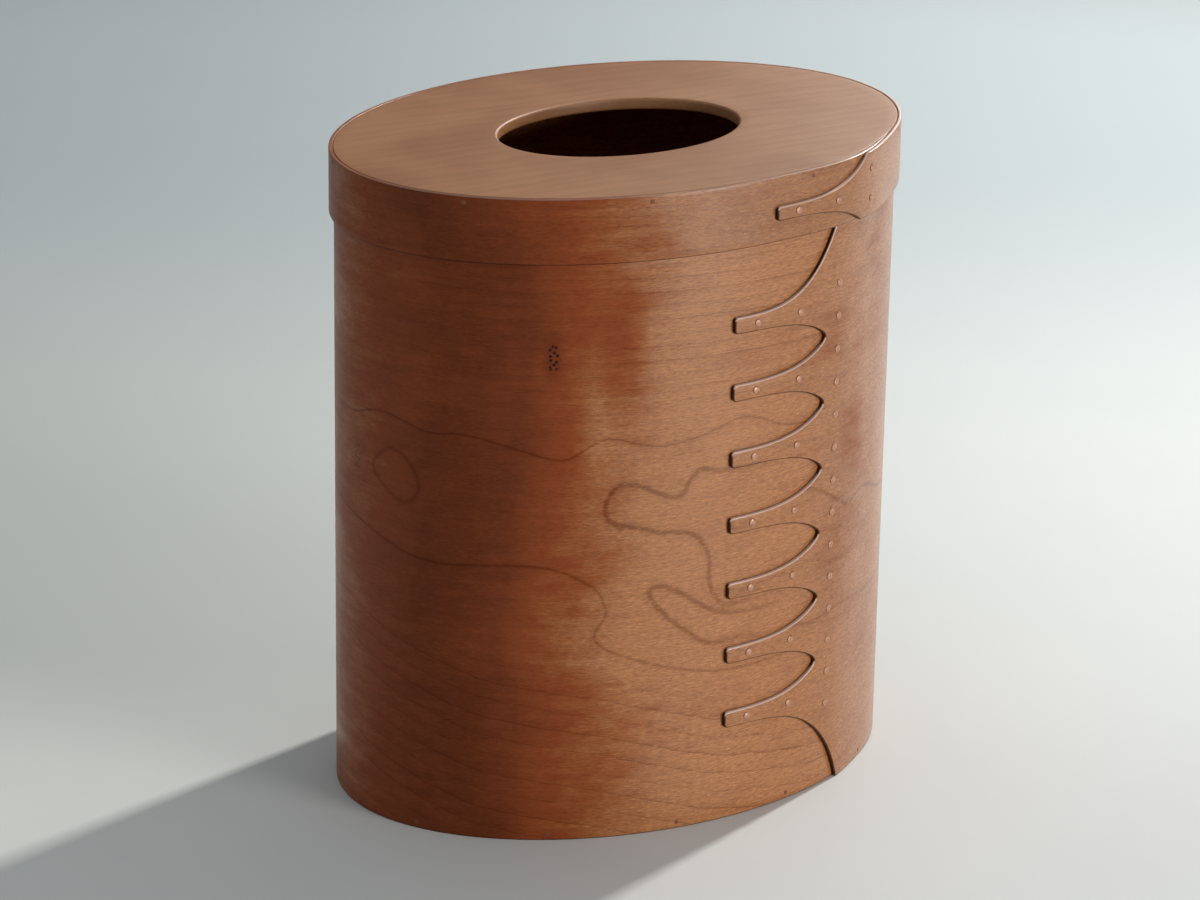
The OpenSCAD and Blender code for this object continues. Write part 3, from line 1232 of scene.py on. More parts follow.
    @staticmethod
    def _quiet_rings(s: Sketch, ring: Socket, wander: Socket, streaks: Socket) -> Socket:
        """Draws thin lines at whole ring numbers, each with a soft side and a sharp one.

        Args:
            s: The material.
            ring: Number of rings up to a point.
            wander: Slow wander of the lines.
            streaks: Broad streaks, which break the lines up.

        Returns:
            How dark the lines are.
        """
        moved = s.line(wander, 0.1, ring)
        phase = s.math("FRACT", moved)
        rise = s.math("MAXIMUM", s.ramp(phase, 0.84, 0.95), s.ramp(phase, 0.35, 0.95, 0.0, 0.3))
        line = s.times(rise, s.ramp(phase, 0.96, 1.0, 1.0, 0.0))
        spread = s.math("FRACT", s.times(s.math("FLOOR", moved), GOLDEN_SHARE))
        level = s.times(s.line(spread, 0.6, 0.4), s.ramp(streaks, 0.25, 0.65, 0.6, 1.0))
        return s.times(s.times(line, s.ramp(ring, 0.2, 1.0)), level)

    @staticmethod
    def _strong_lines(
        s: Sketch, gap: Socket, strength: Socket, wander: Socket, teeth: Socket
    ) -> Socket:
        """Draws dark lines where the signed distance passes zero, softly shaded on one side.

        Args:
            s: The material.
            gap: Signed distance from the nearest line, in its widths.
            strength: How dark that line is.
            wander: Slow wander of the lines.
            teeth: Fine fray of the lines' edges.

        Returns:
            How dark the lines are.
        """
        moved = s.plus(gap, s.line(wander, 0.35, s.times(teeth, 0.7)))
        away = s.math("ABSOLUTE", moved)
        core = s.ramp(away, 0.35, 2.25, 1.0, 0.0)
        halo = s.ramp(away, 1.0, 4.5, 0.2, 0.0)
        shade = s.times(s.ramp(moved, 0.0, 7.0, 0.1, 0.0), s.ramp(moved, -0.8, 0.4))
        return s.times(s.math("MAXIMUM", s.math("MAXIMUM", core, halo), shade), strength)

    def _pin_knots(self, s: Sketch, body: Socket, flat: Socket, group: Triple) -> Socket:
        """Adds a small group of black pin knots with a ruddy patch round it.

        Args:
            s: The material.
            body: Colour of the wood.
            flat: Place on the flat strip in millimetres.
            group: Distance along the strip, height, and how dark the knots are.

        Returns:
            The colour with the knots.
        """
        along, up, dark = group
        wide, high = self.knot_reach
        local = s.vector("SUBTRACT", flat, (along, up, 0.0))
        shape = s.vector("MULTIPLY", local, (1 / wide, 1 / high, 0.0))
        away = s.length(shape)
        dots = s.node(
            "ShaderNodeTexVoronoi",
            {"Vector": local, "Scale": 0.42, "Randomness": 0.9},
            voronoi_dimensions="2D",
            feature="F1",
        )
        dot = s.ramp(dots.outputs["Distance"], 0.2, 0.46, 1.0, 0.0)
        body = s.shade(s.ramp(away, 0.3, 2.4, 0.6 * dark, 0.0), body, self.halo)
        return s.blend(s.times(dot, s.ramp(away, 0.7, 1.0, dark, 0.0)), body, rgba(self.knot))

    def _paint_edge_light_and_shade(self, s: Sketch, body: Socket, depth: Socket) -> tuple[Socket, Socket]:
        """Paints highlight where edges and cut sides face up and shade where edges face down; the
        other cut sides are dark, partly end grain and partly painted shade.

        Args:
            s: The material.
            body: Colour of the wood.
            depth: Depth below the strip's outer face, in millimetres.

        Returns:
            The colour with the edges, and the share of the oil's shine that is left.
        """
        # worn marks the points on the rounded edges, which get painted highlight or painted shade.
        side, worn, facing = s.split(s.attribute(EDGE))
        # Painted highlight on the rounded edges that face up.
        painted_highlight = s.times(worn, s.ramp(facing, 0.1, 0.5, 0.0, 0.8))
        body = s.blend(painted_highlight, body, rgba(self.edge))
        # Painted shade on the rounded edges that face down.
        under = s.times(worn, s.ramp(facing, 0.3, 0.0, 0.0, 0.85))
        body = s.blend(under, body, rgba(self.end_grain))
        # Painted shade at the foot of a cut side, where it meets the layer beneath.
        seam = s.ramp(depth, -1.3, -2.0, 0.0, 0.8)
        # Cut sides: dark, partly end grain and partly painted shade, with a painted highlight where
        # they face up.
        lit = s.times(s.ramp(facing, 0.68, 0.96), s.math("SUBTRACT", 1.0, seam))
        cut = s.blend(lit, rgba(self.end_grain), rgba(self.edge, 0.92))
        body = s.blend(s.times(side, 0.94), body, cut)
        return body, s.line(s.math("MAXIMUM", side, under), -0.85, 1.0)


@dataclass(frozen=True)
class CherryBoard:
    """Oiled solid cherry, planed flat, with its grain along X.

    Attributes:
        name: Name of the material.
        light: Colour of the light wood.
        deep: Colour of the ruddy wood.
        dark: Colour of the growth lines.
        spacing: Space between rings, in millimetres.
        roughness: Roughness of the oiled face.
    """

    name: str
    light: Colour = (0.42, 0.195, 0.085)
    deep: Colour = (0.335, 0.138, 0.053)
    dark: Colour = (0.12, 0.042, 0.02)
    spacing: float = 9.0
    roughness: float = 0.46

    def material(self) -> Material:
        """Builds the material.

        Returns:
            The material, which reads the board's own place.
        """
        s = Sketch(self.name)
        flat = s.millimetres(s.own_place())
        along, across, up = place = s.split(flat)
        drift = s.line(s.grain(place, 0.25, 0.02, 3.0, 0.5), 34.0, -17.0)
        leaning = s.line(along, 0.055, s.plus(across, drift))
        phase = s.math("FRACT", s.math("DIVIDE", s.line(up, 1.7, leaning), self.spacing))
        line = s.times(s.ramp(phase, 0.3, 0.97), s.ramp(phase, 0.97, 1.0, 1.0, 0.0))
        streaks = s.grain(place, 0.05, 0.7, 4.0, 0.6)
        fine = s.grain(place, 0.12, 2.6, 3.0, 0.65)
        pores = s.ramp(s.grain(place, 0.2, 3.2, 2.0, 0.7), 0.60, 0.74)
        cloud = s.ramp(s.noise(flat, 0.014, 3.0, 0.5), 0.36, 0.66)
        body = s.blend(cloud, rgba(self.light), rgba(self.deep))
        body = s.blend(s.ramp(streaks, 0.35, 0.75, 0.0, 0.3), body, rgba(self.deep, 0.8))
        shown = s.times(line, s.ramp(streaks, 0.25, 0.7, 0.05, 0.17))
        body = s.blend(shown, body, rgba(self.dark))
        body = s.blend(s.times(pores, 0.3), body, rgba(self.dark))
        rough = s.line(fine, 0.14, self.roughness - 0.07)
        looks = {"Base Color": body, "Roughness": rough, "IOR": 1.48}
        return s.finish(looks, s.math("SUBTRACT", fine, pores), 0.2, 0.00012)


@dataclass(frozen=True)
class HammeredCopper:
    """Copper of a tack's head, rubbed bright and slightly tarnished, with painted shade round the
    rim where the head meets the wood.

    Attributes:
        name: Name of the material.
        bright: Colour of the rubbed metal.
        dull: Colour of the tarnish.
        rim: Colour of the painted shade where a head meets the wood.
        roughness: Roughness of the metal.
    """

    name: str = "copper"
    bright: Colour = (0.54, 0.29, 0.19)
    dull: Colour = (0.36, 0.165, 0.10)
    rim: Colour = (0.05, 0.018, 0.010)
    roughness: float = 0.44

    def material(self) -> Material:
        """Builds the material.

        Returns:
            The material, which reads how high each point of a head's dome is.
        """
        s = Sketch(self.name)
        flat = s.millimetres(s.own_place())
        tarnish = s.noise(flat, 0.9, 3.0, 0.6)
        dulled = s.ramp(tarnish, 0.4, 0.7, 0.1, 0.75)
        metal = s.blend(dulled, rgba(self.bright), rgba(self.dull))
        rise = s.node("ShaderNodeAttribute", attribute_name=RISE).outputs["Fac"]
        looks = {
            # Painted shade darkens the low rim of the dome, where the head meets the wood.
            "Base Color": s.blend(s.ramp(rise, 0.5, 0.15, 0.0, 0.92), metal, rgba(self.rim)),
            "Roughness": s.line(tarnish, 0.3, self.roughness - 0.12),
            "Metallic": 0.45,
        }
        return s.finish(looks, s.noise(flat, 4.0, 2.0, 0.6), 0.35, 0.0001)


@dataclass(frozen=True)
class PegEndGrain:
    """End grain of a wooden peg, sanded flush and oiled with the band.

    Attributes:
        name: Name of the material.
        light: Colour of the wood.
        dark: Colour of the pores.
        roughness: Roughness of the wood.
    """

    name: str = "peg_end_grain"
    light: Colour = (0.19, 0.062, 0.022)
    dark: Colour = (0.12, 0.038, 0.014)
    roughness: float = 0.5

    def material(self) -> Material:
        """Builds the material.

        Returns:
            The material, which reads the peg's own place.
        """
        s = Sketch(self.name)
        pores = s.noise(s.millimetres(s.own_place()), 3.2, 3.0, 0.6)
        wood = s.blend(s.ramp(pores, 0.4, 0.75), rgba(self.light), rgba(self.dark))
        return s.finish({"Base Color": wood, "Roughness": self.roughness}, pores, 0.3, 0.0001)


@dataclass(frozen=True)
class PaleFloor:
    """A matt pale floor whose colour carries painted light and shade: cooler and darker to the left
    and far away, lighter in front on the left, darker far out under the lamps.

    Attributes:
        name: Name of the material.
        near: Colours before the object, at the left and at the right.
        middle: Colours behind the object, at the left and at the right.
        far: Colours far behind it, at the left and at the right.
        outer: Colour of the floor far out on every side, a painted shade under the lamps.
        cloud: Colour of the faint clouds.
        roughness: Roughness of the floor.
    """

    name: str = "studio_floor"
    near: tuple[Colour, Colour] = ((0.73, 0.735, 0.70), (0.655, 0.67, 0.67))
    middle: tuple[Colour, Colour] = ((0.53, 0.55, 0.53), (0.745, 0.765, 0.755))
    far: tuple[Colour, Colour] = ((0.405, 0.447, 0.463), (0.53, 0.58, 0.595))
    outer: Colour = (0.31, 0.32, 0.32)
    cloud: Colour = (0.5, 0.52, 0.55)
    roughness: float = 0.6

    def material(self, azimuth: float) -> Material:
        """Builds the material.

        Args:
            azimuth: Direction of the camera from the front, in degrees.

        Returns:
            The material, which reads the floor's own place.
        """
        s = Sketch(self.name)
        place = s.own_place()
        x, y, _ = s.split(place)
        cos, sin = math.cos(math.radians(azimuth)), math.sin(math.radians(azimuth))
        right = s.plus(s.times(x, cos), s.times(y, sin))
        away = s.plus(s.times(x, -sin), s.times(y, cos))
        side = s.ramp(right, -0.45, 0.4)
        # These colours paint light and shade in place of the lamps' falloff: lighter in front on
        # the left, darker behind on the left and far away, and darker far out under the lamps.
        near, middle, far = (
            s.blend(side, rgba(left), rgba(right_hand))
            for left, right_hand in (self.near, self.middle, self.far)
        )
        colour = s.blend(s.ramp(away, -0.12, 0.12), near, middle)
        colour = s.blend(s.ramp(away, 0.38, 1.0), colour, far)
        colour = s.blend(s.ramp(s.length(place), 1.33, 1.9), colour, rgba(self.outer))
        cloud = s.ramp(s.noise(place, 9.0, 4.0, 0.55), 0.3, 0.7, 0.0, 0.06)
        looks = {
            "Base Color": s.blend(cloud, colour, rgba(self.cloud)),
            "Roughness": self.roughness,
            "Specular IOR Level": 0.25,
        }
        return s.finish(looks, s.noise(place, 45.0, 4.0, 0.6), 0.25, 0.0006)


# --- Boards ---


@dataclass(frozen=True)
class OvalBoard:
    """A flat oval board that fits inside a band.

    Attributes:
        name: Name of the finished piece.
        oval: The form that the bands are bent to.
        low: Height of the lower face.
        high: Height of the upper face.
        edge: Distance of the board's edge out from the oval, along the oval.
        edge_round: Radius of the outer edges.
        hole: Half length and half width of the hole, or nothing for a whole board.
        hole_round: Radius of the hole's edges.
        spokes: Number of points round the board.
        rings: Number of rings across a face.
    """

    name: str
    oval: Oval
    low: float
    high: float
    edge: Callable[[Array], Array]
    edge_round: float = 0.5
    hole: Pair | None = None
    hole_round: float = 1.4
    spokes: int = 360
    rings: int = 14

    def build(self) -> Object:
        """Makes the board as one closed mesh with rounded edges.

        Returns:
            The board.
        """
        along = np.arange(self.spokes) / self.spokes * self.oval.girth
        steps = 6
        turns = [math.pi / 2 * i / steps for i in range(steps + 1)]
        loops: list[Array] = []

        def rim(inset: float, height: float) -> None:
            """Adds a loop near the board's outer edge."""
            plan = self.oval.at(along, self.edge(along) - inset)
            loops.append(np.column_stack([plan, np.full(self.spokes, height)]))

        for turn in turns:
            inset = self.edge_round * (1 - math.sin(turn))
            rim(inset, self.low + self.edge_round * (1 - math.cos(turn)))
        for turn in reversed(turns):
            inset = self.edge_round * (1 - math.sin(turn))
            rim(inset, self.high - self.edge_round * (1 - math.cos(turn)))
        outer_low, outer_high = loops[0], loops[-1]
        if self.hole is None:
            middles = [np.array([0.0, 0.0, self.low]), np.array([0.0, 0.0, self.high])]
            under = self._between(middles[0], outer_low)
            over = self._between(outer_high, middles[1])
            return self._skin([*under, *loops, *over], False, middles)
        angle = self.oval.angle_at(along)
        length, width = self.hole
        inner: list[Array] = []
        for height, sign, order in ((self.high, -1.0, turns), (self.low, 1.0, turns[::-1])):
            for turn in order:
                wide = self.hole_round * (1 - math.sin(turn))
                z = height + sign * self.hole_round * (1 - math.cos(turn))
                plan = [(length + wide) * np.cos(angle), (width + wide) * np.sin(angle)]
                inner.append(np.column_stack([*plan, np.full(self.spokes, z)]))
        top = self._between(outer_high, inner[0])
        bottom = self._between(inner[-1], outer_low)
        return self._skin([*loops, *top, *inner, *bottom], True, [])

    def _between(self, start: Array, end: Array) -> list[Array]:
        """The loops of a face that lie between two others."""
        return [start + (end - start) * i / self.rings for i in range(1, self.rings)]

    def _skin(self, loops: list[Array], ring: bool, centres: list[Array]) -> Object:
        """Joins loops of points with faces.

        Args:
            loops: The loops, in the order that turns the faces outward.
            ring: True to join the last loop to the first.
            centres: The middle points of the lower and the upper face, if the loops end there.

        Returns:
            The board.
        """
        n = self.spokes
        faces: list[list[int]] = []
        for m in range(len(loops) if ring else len(loops) - 1):
            faces += join_loops(m * n, ((m + 1) % len(loops)) * n, n)
        verts = np.concatenate([*loops, *[c[None, :] for c in centres]])
        if centres:
            first = len(loops) * n
            last = (len(loops) - 1) * n
            faces += [[first, (i + 1) % n, i] for i in range(n)]
            faces += [[first + 1, last + i, last + (i + 1) % n] for i in range(n)]
        return make_object(self.name, verts, faces)


# --- Fasteners ---


class Grower(Wiring):
    """Builds a Geometry Nodes tree with named inputs, and bakes its result."""

    def __init__(self, name: str) -> None:
        """Starts a tree with a geometry input and output.

        Args:
            name: Name of the tree.
        """
        super().__init__(bpy.data.node_groups.new(name, "GeometryNodeTree"))
        for way in ("INPUT", "OUTPUT"):
            self.tree.interface.new_socket("Geometry", in_out=way, socket_type="NodeSocketGeometry")
        self.inputs: dict[str, tuple[str, object]] = {}
        self.start = self.node("NodeGroupInput")

    def take(self, name: str, kind: str, value: object) -> Socket:
        """Adds a named input with the value that the modifier will get.

        Args:
            name: Name of the input.
            kind: Kind of socket.
            value: The value.

        Returns:
            The socket inside the tree.
        """
        made = self.tree.interface.new_socket(name, in_out="INPUT", socket_type=kind)
        self.inputs[name] = (made.identifier, value)
        return self.start.outputs[name]

    def size(self, name: str, millimetres: float) -> Socket:
        """Adds a named size."""
        return self.take(name, "NodeSocketFloat", millimetres * MM)

    def ball(self, segments: int, rings: int) -> Socket:
        """A ball that is 1 wide."""
        links = {"Segments": segments, "Rings": rings, "Radius": 0.5}
        return self.node("GeometryNodeMeshUVSphere", links).outputs["Mesh"]

    def shaped(self, shape: Socket, **how: Socket) -> Socket:
        """Moves or stretches a shape."""
        return self.node("GeometryNodeTransform", {"Geometry": shape, **how}).outputs[0]

    def pin(self, sides: int, radius: Socket, length: Socket) -> Socket:
        """A round pin that goes down from the wood's face.

        Args:
            sides: Number of sides.
            radius: Radius of the pin.
            length: Length of the pin.

        Returns:
            The pin.
        """
        links = {"Vertices": sides, "Radius": radius, "Depth": length}
        rod = self.node("GeometryNodeMeshCylinder", links).outputs["Mesh"]
        return self.shaped(rod, Translation=self.join(0.0, 0.0, self.times(length, -0.5)))

    def together(self, *parts: Socket) -> Socket:
        """Joins parts into one shape.

        Args:
            parts: The parts.

        Returns:
            The shape.
        """
        joined = self.node("GeometryNodeJoinGeometry")
        for part in parts:
            self.feed(joined.inputs[0], part)
        return joined.outputs[0]

    def stand_out(
        self, shape: Socket, seed: Socket, least: Sequence[float], most: Sequence[float]
    ) -> Socket:
        """Puts a real copy of a shape at each point, turned outward.

        Args:
            shape: The shape, which stands along Z.
            seed: Seed of the small differences in size.
            least: Least size of a copy.
            most: Greatest size of a copy.

        Returns:
            The copies.
        """
        facing = self.node(
            "GeometryNodeInputNamedAttribute", {"Name": OUTWARD}, data_type="FLOAT_VECTOR"
        )
        turn = self.node(
            "FunctionNodeAlignRotationToVector", {"Vector": facing.outputs[0]}, axis="Z"
        )
        spread = self.node(
            "FunctionNodeRandomValue", {0: least, 1: most, "Seed": seed}, data_type="FLOAT_VECTOR"
        )
        links = {
            "Points": self.start.outputs[0],
            "Instance": shape,
            "Rotation": turn.outputs[0],
            "Scale": spread.outputs[0],
        }
        placed = self.node("GeometryNodeInstanceOnPoints", links)
        return self.node("GeometryNodeRealizeInstances", {0: placed.outputs[0]}).outputs[0]

    def end(self, geometry: Socket, finish: Socket) -> None:
        """Shades geometry smooth, gives it its finish and sends it out of the tree.

        Args:
            geometry: The geometry.
            finish: The material.
        """
        smooth = self.node("GeometryNodeSetShadeSmooth", {0: geometry}).outputs[0]
        coated = self.node("GeometryNodeSetMaterial", {"Geometry": smooth, "Material": finish})
        self.node("NodeGroupOutput", {0: coated.outputs[0]})

    def bake(self, carrier: Object, name: str) -> Object:
        """Runs the tree on a carrier and keeps the result as a plain mesh.

        Args:
            carrier: Object with the points to grow from. It is removed.
            name: Name of the finished piece.

        Returns:
            The finished piece.
        """
        modifier = carrier.modifiers.new("grow", "NODES")
        modifier.node_group = self.tree
        for identifier, value in self.inputs.values():
            modifier[identifier] = value
        graph = bpy.context.evaluated_depsgraph_get()
        mesh = bpy.data.meshes.new_from_object(carrier.evaluated_get(graph))
        carrier.modifiers.remove(modifier)
        bpy.data.objects.remove(carrier)
        mesh.name = name
        return link_object(name, mesh)


def points_on_wall(name: str, places: Array, outward: Array) -> Object:
    """Makes a carrier with one point a fastener and the direction it faces.

    Args:
        name: Name of the carrier.
        places: Points in millimetres.
        outward: Unit vectors that point out of the wood.

    Returns:
        The carrier.
    """
    mesh = bpy.data.meshes.new(name)
    mesh.from_pydata((places * MM).tolist(), [], [])
    set_vectors(mesh, OUTWARD, outward)
    return link_object(name, mesh)


@dataclass(frozen=True)
class TackRow:
    """A row of copper tacks, driven through a lap and turned over inside.

    Attributes:
        through: Thickness of the wood that the shank goes through.
        seed: Seed of the small differences from tack to tack.
        head_width: Width of a head.
        head_height: Height of a head's dome over the wood.
        shank_width: Width of a shank.
        clinch_width: Width of the turned-over end, or 0 for none.
        clinch_height: Height of the turned-over end.
        crown: Power that flattens a head's dome, below 1 for a flat crown.
        dent: Depth of the hammer's dents.
        dents: Number of dents in a metre.
    """

    through: float
    seed: int
    head_width: float = 3.9
    head_height: float = 0.66
    shank_width: float = 1.5
    clinch_width: float = 2.4
    clinch_height: float = 0.42
    crown: float = 0.85
    dent: float = 0.16
    dents: float = 700.0

    def tree(self, metal: Material) -> Grower:
        """Builds the tree that puts a tack at each point.

        Args:
            metal: The tacks' material.

        Returns:
            The tree.
        """
        g = Grower("tacks")
        wide = g.size("Head width", self.head_width)
        high = g.size("Head height", self.head_height)
        shank = g.size("Shank width", self.shank_width)
        through = g.size("Wood thickness", self.through)
        end_wide = g.size("End width", max(self.clinch_width, 0.1))
        end_high = g.size("End height", max(self.clinch_height, 0.01))
        finish = g.take("Finish", "NodeSocketMaterial", metal)
        seed = g.take("Seed", "NodeSocketInt", self.seed)
        ball = g.ball(28, 16)
        x, y, z = g.split(g.node("GeometryNodeInputPosition").outputs[0])
        level = g.times(g.math("ABSOLUTE", z), 2.0)
        flatter = g.times(g.math("POWER", level, self.crown), 0.5)
        spot = g.join(x, y, g.times(flatter, g.math("SIGN", z)))
        dome = g.node("GeometryNodeSetPosition", {"Geometry": ball, "Position": spot}).outputs[0]
        marked = g.node(
            "GeometryNodeStoreNamedAttribute",
            {"Geometry": dome, "Name": RISE, "Value": level},
            data_type="FLOAT",
            domain="POINT",
        )
        head = g.shaped(marked.outputs[0], Scale=g.join(wide, wide, g.times(high, 2.0)))
        parts = [head, g.pin(16, g.times(shank, 0.5), through)]
        if self.clinch_width > 0:
            size = g.join(end_wide, end_wide, g.times(end_high, 2.0))
            drop = g.join(0.0, 0.0, g.times(through, -1.0))
            parts.append(g.shaped(ball, Scale=size, Translation=drop))
        real = g.stand_out(g.together(*parts), seed, (0.96, 0.96, 0.85), (1.02, 1.02, 1.08))
        noise = g.node("ShaderNodeTexNoise", {"Scale": self.dents, "Detail": 1.0}).outputs[0]
        depth = g.times(g.math("SUBTRACT", noise, 0.5), self.dent * MM)
        normal = g.node("GeometryNodeInputNormal").outputs[0]
        push = g.node("ShaderNodeVectorMath", {0: normal, "Scale": depth}, operation="SCALE")
        worn = g.node("GeometryNodeSetPosition", {"Geometry": real, "Offset": push.outputs[0]})
        g.end(worn.outputs[0], finish)
        return g


@dataclass(frozen=True)
class PegRing:
    """Wooden pegs driven through a band into the edge of a board.

    Attributes:
        width: Width of a peg.
        seed: Seed of the small differences from peg to peg.
        length: Length of a peg.
        stand: How far a peg's crowned end stands out of the wood.
    """

    width: float
    seed: int
    length: float = 12.0
    stand: float = 0.09

    def tree(self, wood: Material) -> Grower:
        """Builds the tree that puts a peg at each point.

        Args:
            wood: The pegs' material.

        Returns:
            The tree.
        """
        g = Grower("pegs")
        wide = g.size("Peg width", self.width)
        length = g.size("Peg length", self.length)
        stand = g.size("Stand", self.stand)
        finish = g.take("Finish", "NodeSocketMaterial", wood)
        seed = g.take("Seed", "NodeSocketInt", self.seed)
        pin = g.pin(20, g.times(wide, 0.48), length)
        crown = g.shaped(g.ball(20, 8), Scale=g.join(wide, wide, g.times(stand, 2.0)))
        peg = g.together(pin, crown)
        g.end(g.stand_out(peg, seed, (0.93, 0.93, 0.99), (1.0, 1.0, 1.0)), finish)
        return g


# --- The two sub-assemblies ---


def dress(
    piece: Object,
    body: Body,
    nodes: Sequence[str],
    finish: Material | None,
) -> Object:
    """Gives a finished piece its material, its body and the nodes it stands for.

    Args:
        piece: The finished piece.
        body: The body that it rides on.
        nodes: The CAD nodes that it replaces.
        finish: The material, or nothing where the mesh already has it.

    Returns:
        The piece.
    """
    if finish is not None:
        piece.data.materials.clear()
        piece.data.materials.append(finish)
    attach(piece, body.value)
    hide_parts(*nodes)
    LOG.info("%s: %d faces on %s", piece.name, len(piece.data.polygons), body.value)
    return piece


def node_low(name: str) -> Vector:
    """Lowest corner of a CAD node in millimetres."""
    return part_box(name)[0] / MM


def node_high(name: str) -> Vector:
    """Highest corner of a CAD node in millimetres."""
    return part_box(name)[1] / MM


@dataclass(frozen=True, kw_only=True)
class LappedBox:
    """What the bin and its lid share: a lapped band round a board, with tacks and pegs.

    Attributes:
        oval: The form that both bands are bent to.
        thickness: Thickness of the band.
        lap_start: Distance of the finger tips from the middle of the front.
        tack_rows: Distances of the tack rows from the tips: tip, root and seam.
        pegs: Number of pegs.
        peg_start: Distance of the first peg from the middle of the front.
        gap: Gap between the layers of the lap.
        board_gap: Gap between the board and the band.
        tack_width: Width of a tack's head.
        peg_width: Width of a peg.
    """

    oval: Oval
    thickness: float
    lap_start: float
    tack_rows: Triple
    pegs: int
    peg_start: float
    gap: float = 0.1
    board_gap: float = 0.1
    tack_width: float = 3.9
    peg_width: float = 2.4

    @property
    def full(self) -> float:
        """Distance up to which both layers of the lap lie one over the other."""
        return self.lap_start + self.tack_rows[2] + SEAM_MARGIN

    @property
    def lift(self) -> float:
        """Height of the outer layer's face over the inner layer's."""
        return self.thickness + self.gap

    def form(self, along: Array) -> Array:
        """Distance of the single layer's outside from the oval."""
        return np.zeros_like(along)

    def facing(self, along: Array, lift: float) -> Array:
        """Directions in which the wall faces, as X and Y pairs; this one has no lean."""
        return self.oval.outward(along)

    def drive(
        self,
        fasteners: Grower,
        name: str,
        along: Sequence[float],
        heights: Sequence[float],
        lift: float,
    ) -> Object:
        """Puts fasteners into the wall.

        Args:
            fasteners: Tree of the fasteners.
            name: Name of the finished piece.
            along: Distances along the oval.
            heights: Heights.
            lift: Distance out from the single layer's outside.

        Returns:
            The fasteners as one piece.
        """
        s = np.array(along, dtype=float)
        places = np.column_stack([self.oval.at(s, self.form(s) + lift), heights])
        outward = np.column_stack([self.facing(s, lift), np.zeros(len(s))])
        return fasteners.bake(points_on_wall(name + "_points", places, outward), name)

    def peg_ring(self, name: str, height: float, seed: int, wood: Material) -> Object:
        """Puts a ring of pegs into the edge of the board.

        Args:
            name: Name of the finished piece.
            height: Height of the pegs.
            seed: Seed of the small differences from peg to peg.
            wood: The pegs' material.

        Returns:
            The pegs as one piece.
        """
        along = [self.peg_start + i * self.oval.girth / self.pegs for i in range(self.pegs)]
        pegs = PegRing(self.peg_width, seed).tree(wood)
        return self.drive(pegs, name, along, [height] * self.pegs, 0.0)


